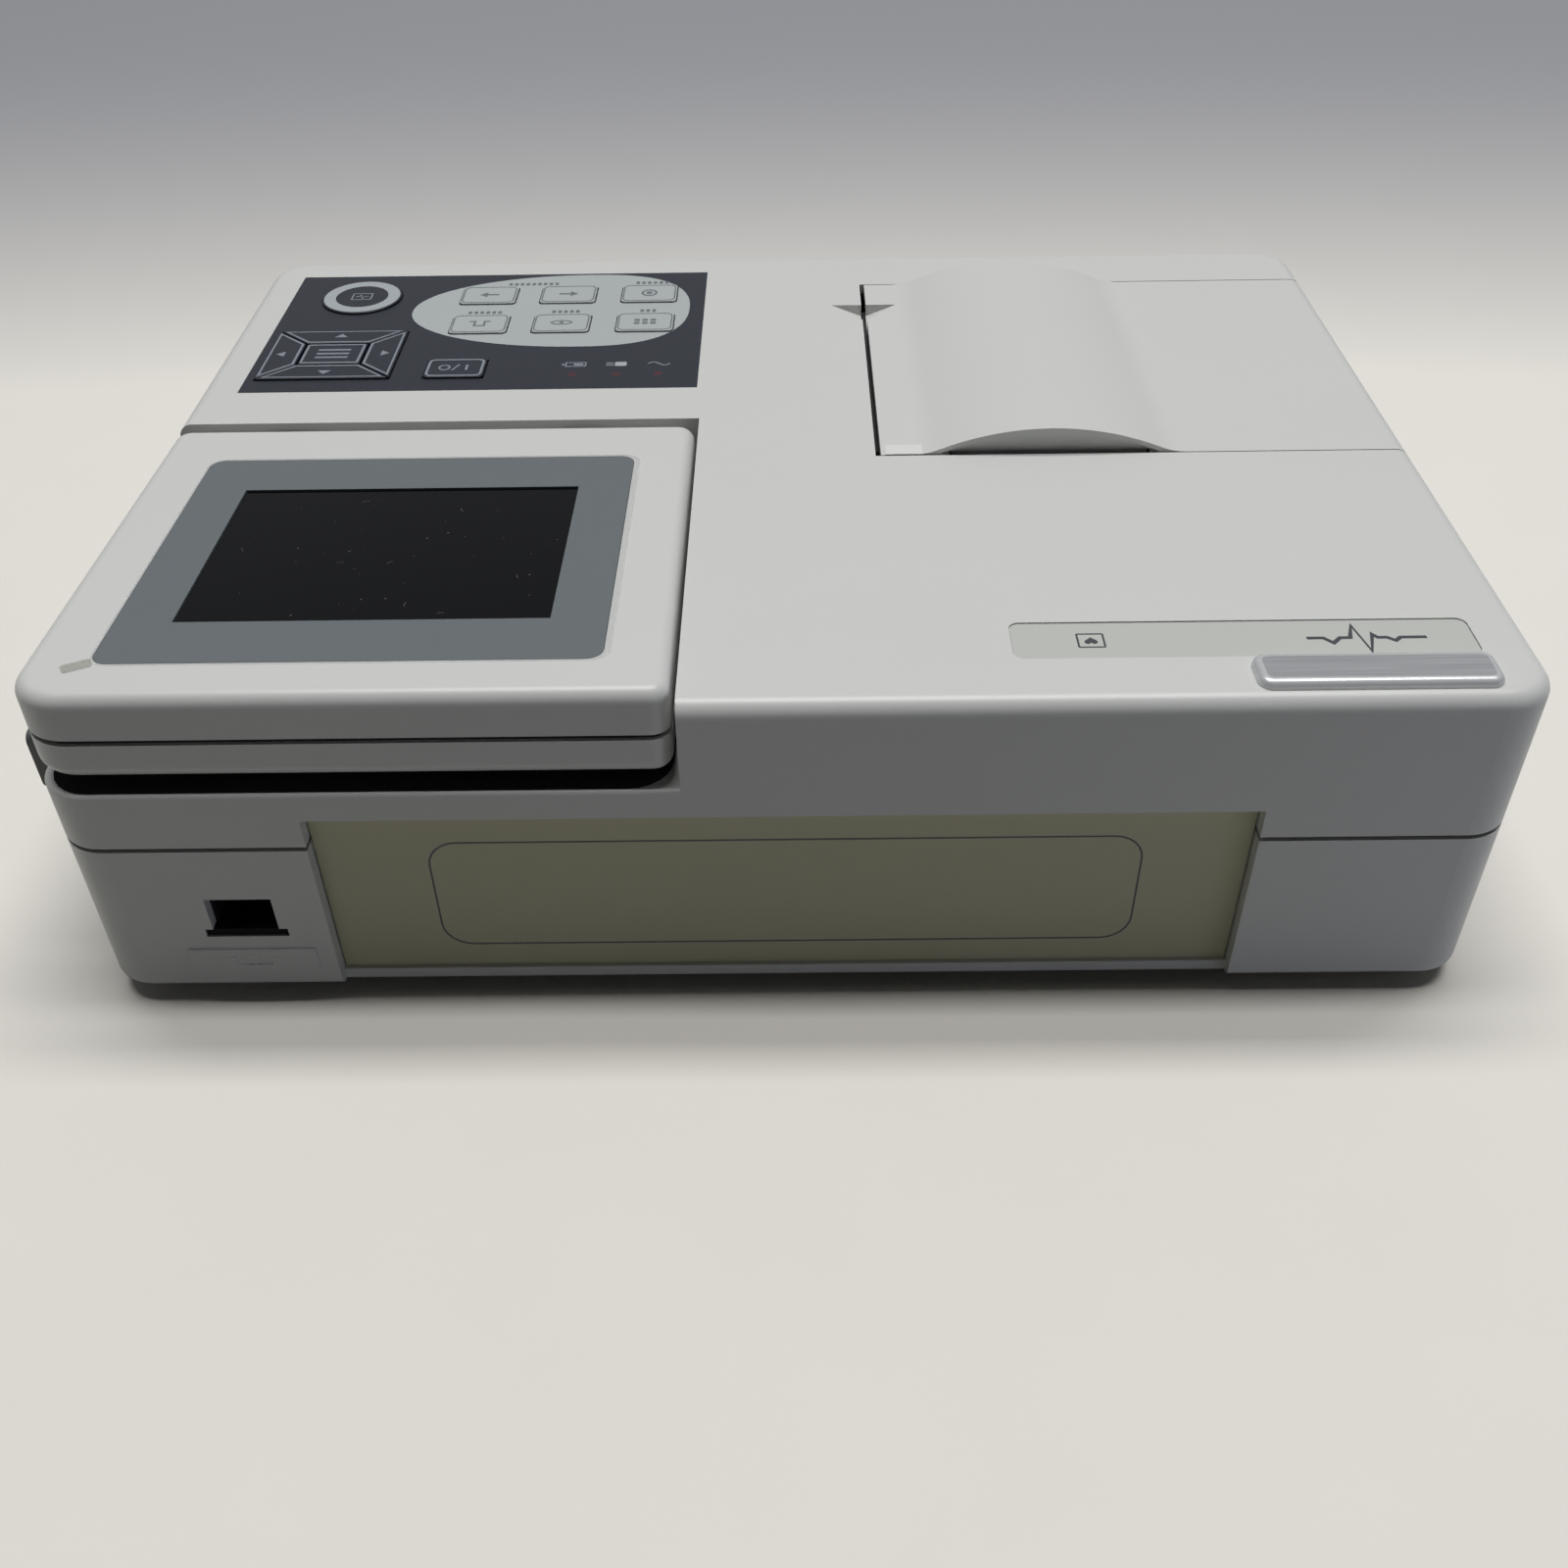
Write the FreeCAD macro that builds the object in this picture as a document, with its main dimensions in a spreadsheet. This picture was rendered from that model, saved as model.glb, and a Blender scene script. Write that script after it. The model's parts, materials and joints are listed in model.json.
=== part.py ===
import FreeCAD, Part
import Sketcher
import math
import os

# Desktop electrocardiograph: case, tilting screen, keypad, recorder with paper door.
# Millimetres. X to the operator's right, Y to the rear, Z up, feet standing on Z = 0.

doc = FreeCAD.newDocument("ecg_machine")
sheet = doc.addObject("Spreadsheet::Sheet", "Sizes")

SIZES = {
    # case
    "case_width": 288, "case_depth": 215, "case_height": 73, "lower_height": 39, "foot_height": 4,
    "wall": 2.5, "corner_radius": 10, "top_round": 3.5, "bottom_round": 2, "seam": 1.0,
    "tongue_height": 2, "tongue_wall": 1.1, "boss_inset": 14, "boss_radius": 4.5, "screw_radius": 1.5,
    "foot_radius": 7, "foot_inset": 30,
    # rear recess and network port
    "recess_width": 187, "recess_depth": 4, "recess_top": 50.2, "plate_thick": 0.8, "recess_lip": 1.6,
    "jack_inset": 33.5, "jack_open_width": 13.6, "jack_open_low": 20.6, "jack_open_high": 29.5,
    "tag_width": 26.4, "tag_low": 9.5, "tag_high": 15.3, "tag_rise": 0.5, "mark_rise": 0.25,
    # screen
    "pocket_width": 124.75, "pocket_depth": 114.2, "ledge_z": 56.9, "screen_gap": 1.05,
    "screen_front_gap": 1.6, "screen_thick": 19.2, "screen_back_thick": 8.8, "screen_wall": 2,
    "screen_drop": 0.7, "screen_seam": 1.2, "screen_corner": 10, "screen_small_corner": 4, "screen_round": 3,
    "screen_inset": 1, "hinge_back": 6, "hinge_down": 6, "hinge_pin_radius": 1.5, "lug_width": 8,
    "lug_spacing": 70, "rest_tilt": 1.5,
    "bezel_width": 97, "bezel_depth": 83.5, "bezel_thick": 0.8, "bezel_radius": 3.4,
    "lcd_width": 74, "lcd_depth": 54.5, "bezel_rear_margin": 11, "bezel_inner_margin": 12.85,
    "display_drop": 0.4,
    # keypad
    "pad_right": 10.05, "pad_front": 11.75, "pad_width": 113.5, "pad_depth": 72.5, "overlay_thick": 0.6,
    "overlay_sink": 0.5, "key_rise": 0.5, "key_travel": 0.5, "key_clear": 0.3, "key_width": 15,
    "key_depth": 11.2, "round_key_radius": 10.8, "arrow_width": 33.7, "arrow_depth": 28.2,
    "menu_width": 15.6, "menu_depth": 11.7, "board_thick": 1.6,
    # recorder
    "bay_front": 21.7, "bay_length": 98.9, "door_gap": 0.35, "door_wall": 2, "slot_inset": 121.5,
    "slot_width": 1.25, "hump_inset": 82.4, "hump_half": 28, "hump_rise": 6.2, "hump_blend": 16,
    "rim_thick": 1, "rim_depth": 1.4, "barrel_radius": 3, "label_sink": 0.5, "label_thick": 0.25,
    "door_hinge_drop": 19, "door_pin_radius": 1.5, "roll_inset": 84, "roll_drop": 27, "roll_radius": 25,
    "paper_width": 80, "platen_inset": 114, "platen_drop": 11.5, "platen_radius": 6.5, "shaft_radius": 2.5,
    "gear_module": 0.8, "gear_width": 4, "run_clear": 0.05,
    # connectors on the two sides
    "hood_reach": 7.5, "hood_width": 44, "hood_inset": 18.5, "hood_low": 43.6, "hood_high": 57.5,
    "inlet_inset": 39.5, "switch_inset": 69.5, "earth_inset": 17.5, "rocker_tilt": 7,
}


class Size:
    """A number together with the sheet expression it comes from."""

    def __init__(self, text, value):
        self.text, self.value = text, value

    def __add__(self, other):
        other = size(other)
        return Size(f"({self.text} + {other.text})", self.value + other.value)

    def __sub__(self, other):
        other = size(other)
        return Size(f"({self.text} - {other.text})", self.value - other.value)

    def __mul__(self, other):
        other = size(other)
        return Size(f"({self.text} * {other.text})", self.value * other.value)

    def __truediv__(self, other):
        other = size(other)
        return Size(f"({self.text} / {other.text})", self.value / other.value)

    def __neg__(self):
        return Size(f"(0 - {self.text})", -self.value)

    def __radd__(self, other):
        return size(other) + self

    def __rsub__(self, other):
        return size(other) - self

    def __rmul__(self, other):
        return size(other) * self


def size(value):
    return value if isinstance(value, Size) else Size(f"({value})", float(value))


for row, (alias, number) in enumerate(SIZES.items(), 1):
    sheet.set(f"A{row}", alias)
    sheet.set(f"B{row}", str(number))
    sheet.setAlias(f"B{row}", alias)
doc.recompute()
D = {alias: Size(f"Sizes.{alias}", float(number)) for alias, number in SIZES.items()}

WALL = D["wall"]
HALF_W, HALF_D = D["case_width"] / 2, D["case_depth"] / 2
BOTTOM = D["foot_height"]
FLOOR = BOTTOM + WALL
TOP = BOTTOM + D["case_height"]
SKIN = TOP - WALL
PART_Z = BOTTOM + D["lower_height"]
SHIFT = -D["hood_reach"] / 2
LEFT, RIGHT, FRONT, REAR = -HALF_W, HALF_W, -HALF_D, HALF_D

# places measured from the nearest edge of the case, so that they follow its size
D["pocket_x"], D["pocket_y"] = RIGHT - D["pocket_width"], REAR - D["pocket_depth"]
D["pad_x"] = RIGHT - D["pad_right"] - D["pad_width"] / 2
D["pad_y"] = FRONT + D["pad_front"] + D["pad_depth"] / 2
D["door_front"] = FRONT + D["bay_front"]
D["door_rear"] = D["door_front"] + D["bay_length"]
for name in ("slot", "hump", "roll", "platen"):
    D[f"{name}_x"] = LEFT + D[f"{name}_inset"]
D["roll_z"], D["platen_z"] = TOP - D["roll_drop"], TOP - D["platen_drop"]
D["jack_x"] = RIGHT - D["jack_inset"]
D["hood_rear"] = REAR - D["hood_inset"]
for name in ("inlet", "switch", "earth"):
    D[f"{name}_y"] = REAR - D[f"{name}_inset"]


def bind(thing, prop, value):
    """Tie one property of a feature to the sheet."""
    value = size(value)
    thing.setExpression(prop, value.text)


def place(thing, x, y, z, rotation=None):
    if rotation:
        thing.Placement = FreeCAD.Placement(FreeCAD.Vector(), FreeCAD.Rotation(*rotation))
    for axis, value in zip("xyz", (x, y, z)):
        bind(thing, f"Placement.Base.{axis}", value)


TURN = {"x": (FreeCAD.Vector(0, 1, 0), 90), "y": (FreeCAD.Vector(1, 0, 0), -90), "z": None}


class Piece:
    """One named sub-part: a body whose features are bound to the sheet."""

    def __init__(self, label, loose=False):
        self.body = doc.addObject("PartDesign::Body", label)
        self.body.Label = label
        if loose:
            self.body.AllowCompound = True
        self.label, self.count = label, 0
        bind(self.body, "Placement.Base.x", SHIFT)
        ALL.append(self.body)

    def feature(self, kind):
        self.count += 1
        return self.body.newObject(f"PartDesign::{kind}", f"{self.label}_{self.count}")

    def box(self, x, y, z, cut=False):
        thing = self.feature("SubtractiveBox" if cut else "AdditiveBox")
        for prop, span in zip(("Length", "Width", "Height"), (x, y, z)):
            bind(thing, prop, size(span[1]) - span[0])
        place(thing, x[0], y[0], z[0])
        return self

    def rod(self, axis, centre, radius, span, cut=False):
        """A cylinder along an axis; centre gives the other two coordinates in order."""
        thing = self.feature("SubtractiveCylinder" if cut else "AdditiveCylinder")
        bind(thing, "Radius", radius)
        bind(thing, "Height", size(span[1]) - span[0])
        spot = list(centre)
        spot.insert("xyz".index(axis), span[0])
        place(thing, *spot, rotation=TURN[axis])
        return self

    def cut_box(self, x, y, z):
        return self.box(x, y, z, cut=True)

    def bore(self, axis, centre, radius, span):
        return self.rod(axis, centre, radius, span, cut=True)

    def round(self, radius, test):
        """Fillet the edges of the present shape that pass the test."""
        doc.recompute()
        tip = self.body.Tip
        names = [f"Edge{i}" for i, e in enumerate(tip.Shape.Edges, 1) if test(e)]
        thing = self.feature("Fillet")
        thing.Base = (tip, names)
        bind(thing, "Radius", radius)
        return self

    def hollow(self, thickness, test):
        """Shell the present shape inwards, leaving open the faces that pass the test."""
        doc.recompute()
        tip = self.body.Tip
        names = [f"Face{i}" for i, f in enumerate(tip.Shape.Faces, 1) if test(f)]
        thing = self.feature("Thickness")
        thing.Base = (tip, names)
        thing.Reversed = True
        thing.Join = 1
        bind(thing, "Value", thickness)
        return self

    def scoop(self, edge, tip, y, z):
        """A wedge-shaped hollow: deepest at x = edge over the span y, running out to a point at x = tip."""
        thing = self.feature("SubtractiveWedge")
        side = 1 if tip.value > edge.value else -1
        thing.Placement = FreeCAD.Placement(
            FreeCAD.Vector(), FreeCAD.Rotation(FreeCAD.Vector(0, 0, 1), -90 * side))
        near_x, far_x = (-y[1], -y[0]) if side > 0 else (y[0], y[1])
        point = far_x if side > 0 else near_x
        values = {"Xmin": near_x, "Xmax": far_x, "Ymin": side * edge, "Ymax": side * tip,
                  "Zmin": z[0], "Zmax": z[1] + 1,
                  "X2min": point - 0.02, "X2max": point + 0.02, "Z2min": z[1], "Z2max": z[1] + 1}
        for prop, value in values.items():
            setattr(thing, prop, value.value)
        for prop, value in values.items():
            bind(thing, prop, value)
        return self

    def prism(self, plane, points, span, cut=False):
        """A polygon drawn on a plane (XY, XZ or YZ), padded or pocketed over a span."""
        sketch = self.body.newObject("Sketcher::SketchObject", f"{self.label}_outline_{self.count}")
        plane_object = [o for o in self.body.Origin.OriginFeatures if o.Name.startswith(f"{plane}_Plane")][0]
        sketch.AttachmentSupport = (plane_object, [""])
        sketch.MapMode = "FlatFace"
        low, high = size(span[0]), size(span[1])
        depth = {"XY": high if cut else low, "YZ": high if cut else low, "XZ": -low if cut else -high}[plane]
        bind(sketch, "AttachmentOffset.Base.z", depth)
        points = [(size(a), size(b)) for a, b in points]
        for i, (a, b) in enumerate(points):
            c, d = points[(i + 1) % len(points)]
            sketch.addGeometry(Part.LineSegment(
                FreeCAD.Vector(a.value, b.value), FreeCAD.Vector(c.value, d.value)), False)
        for i, (a, b) in enumerate(points):
            sketch.addConstraint(Sketcher.Constraint("Coincident", i - 1 if i else len(points) - 1, 2, i, 1))
        for i, (a, b) in enumerate(points):
            for kind, value in (("DistanceX", a), ("DistanceY", b)):
                number = sketch.addConstraint(Sketcher.Constraint(kind, i, 1, value.value))
                sketch.setExpression(f"Constraints[{number}]", value.text)
        thing = self.feature("Pocket" if cut else "Pad")
        thing.Profile = sketch
        bind(thing, "Length", high - low)
        return self


ALL = []


def upright(edge):
    a, b = [v.Point for v in edge.Vertexes][:2] if len(edge.Vertexes) > 1 else (None, None)
    return a is not None and abs(a.x - b.x) < 1e-4 and abs(a.y - b.y) < 1e-4 and abs(a.z - b.z) > 0.2


def flat_at(axis, value):
    """Edges lying wholly in the plane axis = value."""
    def test(edge):
        box = edge.BoundBox
        low, high = getattr(box, f"{axis}Min"), getattr(box, f"{axis}Max")
        return abs(low - value.value) < 1e-3 and abs(high - value.value) < 1e-3
    return test


def face_at(axis, value):
    return lambda face: flat_at(axis, value)(face)


def near(x, y):
    """Upright edges standing at one plan position."""
    def test(edge):
        start = edge.Vertexes[0]
        return upright(edge) and abs(start.X - x.value) < 0.01 and abs(start.Y - y.value) < 0.01
    return test


def corners_of(x, y):
    """Upright edges at the four corners of a plan rectangle."""
    return lambda e: any(near(a, b)(e) for a in x for b in y)


CENTRED = lambda middle, width: (size(middle) - size(width) / 2, size(middle) + size(width) / 2)
BOSSES = [(sx * (HALF_W - D["boss_inset"]), sy * (HALF_D - D["boss_inset"]))
          for sx in (-1, 1) for sy in (-1, 1)]
BOSS_TOP = PART_Z - 8

# lower case: tray with rear recess, screw bosses, battery opening and port cut-outs
lower = Piece("lower_case")
lower.box((-HALF_W, HALF_W), (-HALF_D, HALF_D), (BOTTOM, PART_Z - D["seam"] / 2))
lower.round(D["corner_radius"], upright)
lower.hollow(WALL, face_at("Z", PART_Z - D["seam"] / 2))
lower.round(D["bottom_round"], flat_at("Z", BOTTOM))
recess_half = D["recess_width"] / 2
recess_floor = HALF_D - D["recess_depth"]
lower.box((-recess_half - WALL, recess_half + WALL), (recess_floor - WALL, HALF_D - WALL / 2),
          (FLOOR - 1, PART_Z - D["seam"] / 2))
lower.cut_box((-recess_half, recess_half), (recess_floor, HALF_D + 1),
              (BOTTOM + D["recess_lip"] + 1, PART_Z + 1))
lower.cut_box((-recess_half, recess_half), (recess_floor + D["recess_lip"], HALF_D + 1),
              (BOTTOM - 1, BOTTOM + D["recess_lip"] + 2))
for bx, by in BOSSES:
    lower.rod("z", (bx, by), D["boss_radius"], (BOTTOM + 1, BOSS_TOP))
    lower.bore("z", (bx, by), D["screw_radius"] + 0.1, (BOTTOM - 1, BOSS_TOP + 1))
    lower.bore("z", (bx, by), D["screw_radius"] + 1.6, (BOTTOM - 1, BOTTOM + 3))
# tongue that closes the seam from inside
T_OUT = WALL / 2
T_IN = T_OUT + D["tongue_wall"]
LONG_X, LONG_Y = HALF_W - D["corner_radius"], HALF_D - D["corner_radius"]
TONGUES = [
    ((LEFT + T_OUT, LEFT + T_IN), (-LONG_Y, LONG_Y)),
    ((RIGHT - T_IN, RIGHT - T_OUT), (-LONG_Y, LONG_Y)),
    ((-LONG_X, LONG_X), (FRONT + T_OUT, FRONT + T_IN)),
    ((-LONG_X, -recess_half - WALL - 1), (REAR - T_IN, REAR - T_OUT)),
    ((recess_half + WALL + 1, LONG_X), (REAR - T_IN, REAR - T_OUT)),
]
for x, y in TONGUES:
    lower.box(x, y, (PART_Z - 6, PART_Z + D["tongue_height"]))
# network port opening and the raised tag below it
jack_span = CENTRED(D["jack_x"], D["jack_open_width"])
lower.cut_box(jack_span, (HALF_D - WALL - 1, HALF_D + 1), (D["jack_open_low"], D["jack_open_high"]))
lower.cut_box(CENTRED(D["jack_x"], D["jack_open_width"] + 3.5), (HALF_D - WALL - 1, HALF_D + 1),
              (D["jack_open_low"] - 1.6, D["jack_open_low"] + 0.5))
lower.box(CENTRED(D["jack_x"], D["tag_width"]), (HALF_D - 1, HALF_D + D["tag_rise"]),
          (D["tag_low"], D["tag_high"]))
# plain sign on the tag: three linked squares, drawn as offsets from the middle of the tag
tag_z = (D["tag_low"] + D["tag_high"]) / 2
for x, z in (((-6, -3.6), (-1.4, 0.6)), ((-1.2, 1.2), (-0.6, 1.4)), ((3.6, 6), (-1.4, 0.6)),
             ((-4.8, 4.8), (-1.5, -1.1)), ((-0.2, 0.2), (-1.5, -0.5))):
    lower.box((D["jack_x"] + x[0], D["jack_x"] + x[1]), (HALF_D, HALF_D + D["tag_rise"] + D["mark_rise"]),
              (tag_z + z[0], tag_z + z[1]))
# battery opening with a seat for its cover
bat_x, bat_y = (RIGHT - 136, RIGHT - 42), (FRONT + 10.5, FRONT + 79.5)
lower.cut_box(bat_x, bat_y, (BOTTOM - 1, FLOOR + 1))
lower.cut_box((bat_x[0] - 3, bat_x[1] + 3), (bat_y[0] - 3, bat_y[1] + 3), (BOTTOM - 1, BOTTOM + 1.5))
for x in ((bat_x[0] - 1.5, bat_x[0]), (bat_x[1], bat_x[1] + 1.5)):
    lower.box(x, (bat_y[0] - 1.5, bat_y[1] + 1.5), (FLOOR - 0.5, FLOOR + 10))
for y in ((bat_y[0] - 1.5, bat_y[0]), (bat_y[1], bat_y[1] + 1.5)):
    lower.box((bat_x[0] - 1.5, bat_x[1] + 1.5), y, (FLOOR - 0.5, FLOOR + 10))
# posts for the main board and the power supply
BOARD_Z = D["jack_open_low"] - 3.6
BOARD_POSTS = [(RIGHT - a, REAR - b) for a, b in ((140, 123.5), (26, 123.5), (140, 13.5), (50, 13.5))]
SUPPLY_Z = FLOOR + 7
SUPPLY_POSTS = [(LEFT + a, REAR - b) for a, b in ((36, 81.5), (110, 81.5), (36, 15.5), (110, 15.5))]
for px, py in BOARD_POSTS:
    lower.rod("z", (px, py), 3, (FLOOR - 0.5, BOARD_Z))
for px, py in SUPPLY_POSTS:
    lower.rod("z", (px, py), 3, (FLOOR - 0.5, SUPPLY_Z))
# left side: power inlet, switch and earth pin openings
INLET_Z, SWITCH_Z, EARTH_Z = FLOOR + 16, FLOOR + 16, FLOOR + 8
left_out, left_in = -HALF_W - 1, -HALF_W + WALL + 1
lower.cut_box((left_out, -HALF_W + 1.5), CENTRED(D["inlet_y"], 31), CENTRED(INLET_Z, 25))
lower.cut_box((left_out, left_in), CENTRED(D["inlet_y"], 27.2), CENTRED(INLET_Z, 19.8))
lower.cut_box((left_out, -HALF_W + 1.5), CENTRED(D["switch_y"], 15), CENTRED(SWITCH_Z, 21))
lower.cut_box((left_out, left_in), CENTRED(D["switch_y"], 13), CENTRED(SWITCH_Z, 19))
lower.bore("x", (D["earth_y"], EARTH_Z), 3.5, (left_out, left_in))
FOOT_SPOTS = [(sx * (HALF_W - D["foot_inset"]), sy * (HALF_D - D["foot_inset"] + 12))
              for sx in (-1, 1) for sy in (-1, 1)]

# upper case: top, screen pocket, recorder bay and keypad openings
UPPER_LOW = PART_Z + D["seam"] / 2
upper = Piece("upper_case")
upper.box((-HALF_W, HALF_W), (-HALF_D, HALF_D), (UPPER_LOW, TOP))
upper.round(D["corner_radius"], upright)
upper.hollow(WALL, face_at("Z", UPPER_LOW))
upper.round(D["top_round"], flat_at("Z", TOP))
pocket_x, pocket_y, ledge = D["pocket_x"], D["pocket_y"], D["ledge_z"]
upper.box((pocket_x - WALL, pocket_x + 1), (pocket_y - WALL, HALF_D - WALL / 2), (ledge - WALL, TOP - 1))
upper.box((pocket_x - WALL, HALF_W - WALL / 2), (pocket_y - WALL, pocket_y + 1), (ledge - WALL, TOP - 1))
upper.rod("z", (HALF_W - D["corner_radius"], HALF_D - D["corner_radius"]), D["corner_radius"] - WALL / 2,
          (ledge - WALL, ledge + 1))
upper.box((pocket_x - WALL, HALF_W - WALL / 2), (pocket_y - WALL, HALF_D - D["corner_radius"]),
          (ledge - WALL, ledge + 1))
upper.box((pocket_x - WALL, HALF_W - D["corner_radius"]), (pocket_y - WALL, HALF_D - WALL / 2),
          (ledge - WALL, ledge + 1))
upper.cut_box((pocket_x, HALF_W + 1), (pocket_y, HALF_D + 1), (ledge, TOP + 1))
upper.round(size(0.8), lambda e: flat_at("Z", ledge)(e) and (
    flat_at("X", HALF_W)(e) or flat_at("Y", HALF_D)(e) or e.BoundBox.XMax + e.BoundBox.YMax > 246))
# rear recess carried up into the upper case
upper.box((-recess_half - WALL, recess_half + WALL), (recess_floor - WALL, HALF_D - WALL / 2),
          (UPPER_LOW, D["recess_top"] + WALL))
upper.cut_box((-recess_half, recess_half), (recess_floor, HALF_D + 1), (UPPER_LOW - 1, D["recess_top"]))
for bx, by in BOSSES:
    high = ledge - WALL + 0.5 if bx.value > 0 and by.value > 0 else SKIN + 0.5
    upper.rod("z", (bx, by), D["boss_radius"], (BOSS_TOP, high))
    upper.bore("z", (bx, by), D["screw_radius"], (BOSS_TOP - 1, BOSS_TOP + 9))
# groove that takes the tongue of the lower case
slack = 0.2
for x, y in TONGUES:
    upper.cut_box((x[0] - slack, x[1] + slack), (y[0] - slack, y[1] + slack),
                  (UPPER_LOW - 1, PART_Z + D["tongue_height"] + slack))
# recorder bay: opening for the door over the left edge, with hinge bosses at both ends
HINGE_X, HINGE_Z = -HALF_W + D["barrel_radius"], TOP - D["door_hinge_drop"]
bay_y = (D["door_front"], D["door_rear"])
slot_case = D["slot_x"] + D["slot_width"] / 2
for a, b in ((bay_y[0] - 6, bay_y[0]), (bay_y[1], bay_y[1] + 6)):
    upper.box((-HALF_W + 1, HINGE_X + 5), (a, b), (HINGE_Z - 5, SKIN + 0.5))
upper.cut_box((-HALF_W - 1, slot_case), bay_y, (HINGE_Z - D["barrel_radius"] - D["door_gap"], TOP + 1))
for a, b in ((bay_y[0] - 5, bay_y[0] + 1), (bay_y[1] - 1, bay_y[1] + 5)):
    upper.bore("y", (HINGE_X, HINGE_Z), D["door_pin_radius"] + D["run_clear"], (a, b))
# finger scoop across the paper slot
scoop_y = (D["door_front"] + 13.9, D["door_front"] + 23.5)
SCOOP_Z, SCOOP_UNDER = (TOP - 3, TOP), TOP - 3.7
upper.box((slot_case, slot_case + 9), (scoop_y[0] - 1, scoop_y[1] + 1), (SCOOP_UNDER, SKIN + 0.5))
upper.scoop(slot_case, D["slot_x"] + 8.6, scoop_y, SCOOP_Z)
# bosses that carry the recorder frame
FRAME_SPOTS = [(D["roll_x"], bay_y[0] - 6.5), (D["roll_x"] - 10, bay_y[1] + 8.6),
               (D["platen_x"] + 16, bay_y[0] - 6.5), (D["roll_x"] - 28, bay_y[1] + 8.6)]
EAR_Z = TOP - 17
for px, py in FRAME_SPOTS:
    upper.rod("z", (px, py), 3.5, (EAR_Z, SKIN + 0.5))
    upper.bore("z", (px, py), D["screw_radius"], (EAR_Z - 1, EAR_Z + 9))

# keypad layout, plan positions of every key
ROUND_KEY = (D["pad_x"] + 37.5, D["pad_y"] - 20.9)
ARROW_PAD = (D["pad_x"] + 37.55, D["pad_y"] + 15.5)
POWER_KEY = (D["pad_x"] + 4.7, D["pad_y"] + 24.6)
COLUMNS = [D["pad_x"] + a for a in (2.5, -19.25, -41.4)]
ROWS = [D["pad_y"] + a for a in (-21.1, -2.1)]
FUNCTION_KEYS = {
    "key_lead_next": (COLUMNS[0], ROWS[0]), "key_lead_back": (COLUMNS[1], ROWS[0]),
    "key_gain": (COLUMNS[2], ROWS[0]), "key_calibrate": (COLUMNS[0], ROWS[1]),
    "key_recall": (COLUMNS[1], ROWS[1]), "key_mode": (COLUMNS[2], ROWS[1]),
}
LIGHTS = [(D["pad_x"] + a, D["pad_y"] + 28.3) for a in (-25.2, -36, -46.6)]
clear = D["key_clear"]
PAD_X, PAD_Y = CENTRED(D["pad_x"], D["pad_width"]), CENTRED(D["pad_y"], D["pad_depth"])
OVERLAY_LOW = TOP - D["overlay_sink"]
OVERLAY_TOP = OVERLAY_LOW + D["overlay_thick"]
KEY_TOP = OVERLAY_TOP + D["key_rise"]
KEY_LOW = SKIN - 1.4
SWITCH_TOP = KEY_LOW - D["key_travel"] - 0.1
BOARD_TOP = SKIN - 5


def key_holes(piece, z):
    """Cut every key opening through a plate."""
    for x, y in FUNCTION_KEYS.values():
        piece.cut_box(CENTRED(x, D["key_width"] + 2 * clear), CENTRED(y, D["key_depth"] + 2 * clear), z)
    piece.cut_box(CENTRED(POWER_KEY[0], D["key_width"] + 2 * clear),
                  CENTRED(POWER_KEY[1], D["key_depth"] - 1 + 2 * clear), z)
    piece.cut_box(CENTRED(ARROW_PAD[0], D["arrow_width"] + 2 * clear),
                  CENTRED(ARROW_PAD[1], D["arrow_depth"] + 2 * clear), z)
    piece.bore("z", ROUND_KEY, D["round_key_radius"] + clear, z)
    for x, y in LIGHTS:
        piece.bore("z", (x, y), 1.1, z)


upper.cut_box(PAD_X, PAD_Y, (OVERLAY_LOW, TOP + 1))
key_holes(upper, (SKIN - 1, TOP + 1))
PAD_POSTS = [(D["pad_x"] + a, D["pad_y"] + b) for a, b in ((-54.7, -34), (54.8, -20), (-54.7, 34), (56, 34))]
for px, py in PAD_POSTS:
    upper.rod("z", (px, py), 1.6, (BOARD_TOP, SKIN + 0.5))
# opening behind the patient socket
HOOD_Y = (D["hood_rear"] - D["hood_width"], D["hood_rear"])
HOOD_MID_Y, HOOD_MID_Z = (HOOD_Y[0] + HOOD_Y[1]) / 2, (D["hood_low"] + D["hood_high"]) / 2
upper.cut_box((HALF_W - WALL - 1, HALF_W + 1), CENTRED(HOOD_MID_Y, 26), CENTRED(HOOD_MID_Z, 8))

overlay = Piece("keypad_overlay")
overlay.box(PAD_X, PAD_Y, (OVERLAY_LOW, OVERLAY_TOP))
key_holes(overlay, (OVERLAY_LOW - 1, OVERLAY_TOP + 1))

lights = Piece("status_lights", loose=True)
for x, y in LIGHTS:
    lights.rod("z", (x, y), 1.1, (BOARD_TOP, OVERLAY_TOP))

board = Piece("keypad_board")
board.box((PAD_X[0] - 0.5, PAD_X[1] + 1.5), (PAD_Y[0] - 0.5, PAD_Y[1] + 0.5),
          (BOARD_TOP - D["board_thick"], BOARD_TOP))
corner = BOSSES[2]
board.cut_box((corner[0] - 5, PAD_X[1] + 3), (PAD_Y[0] - 2, corner[1] + 5),
              (BOARD_TOP - D["board_thick"] - 1, BOARD_TOP + 1))

switches = Piece("key_switches", loose=True)


def switch(x, y):
    switches.rod("z", (x, y), 2, (BOARD_TOP, SWITCH_TOP))


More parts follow.
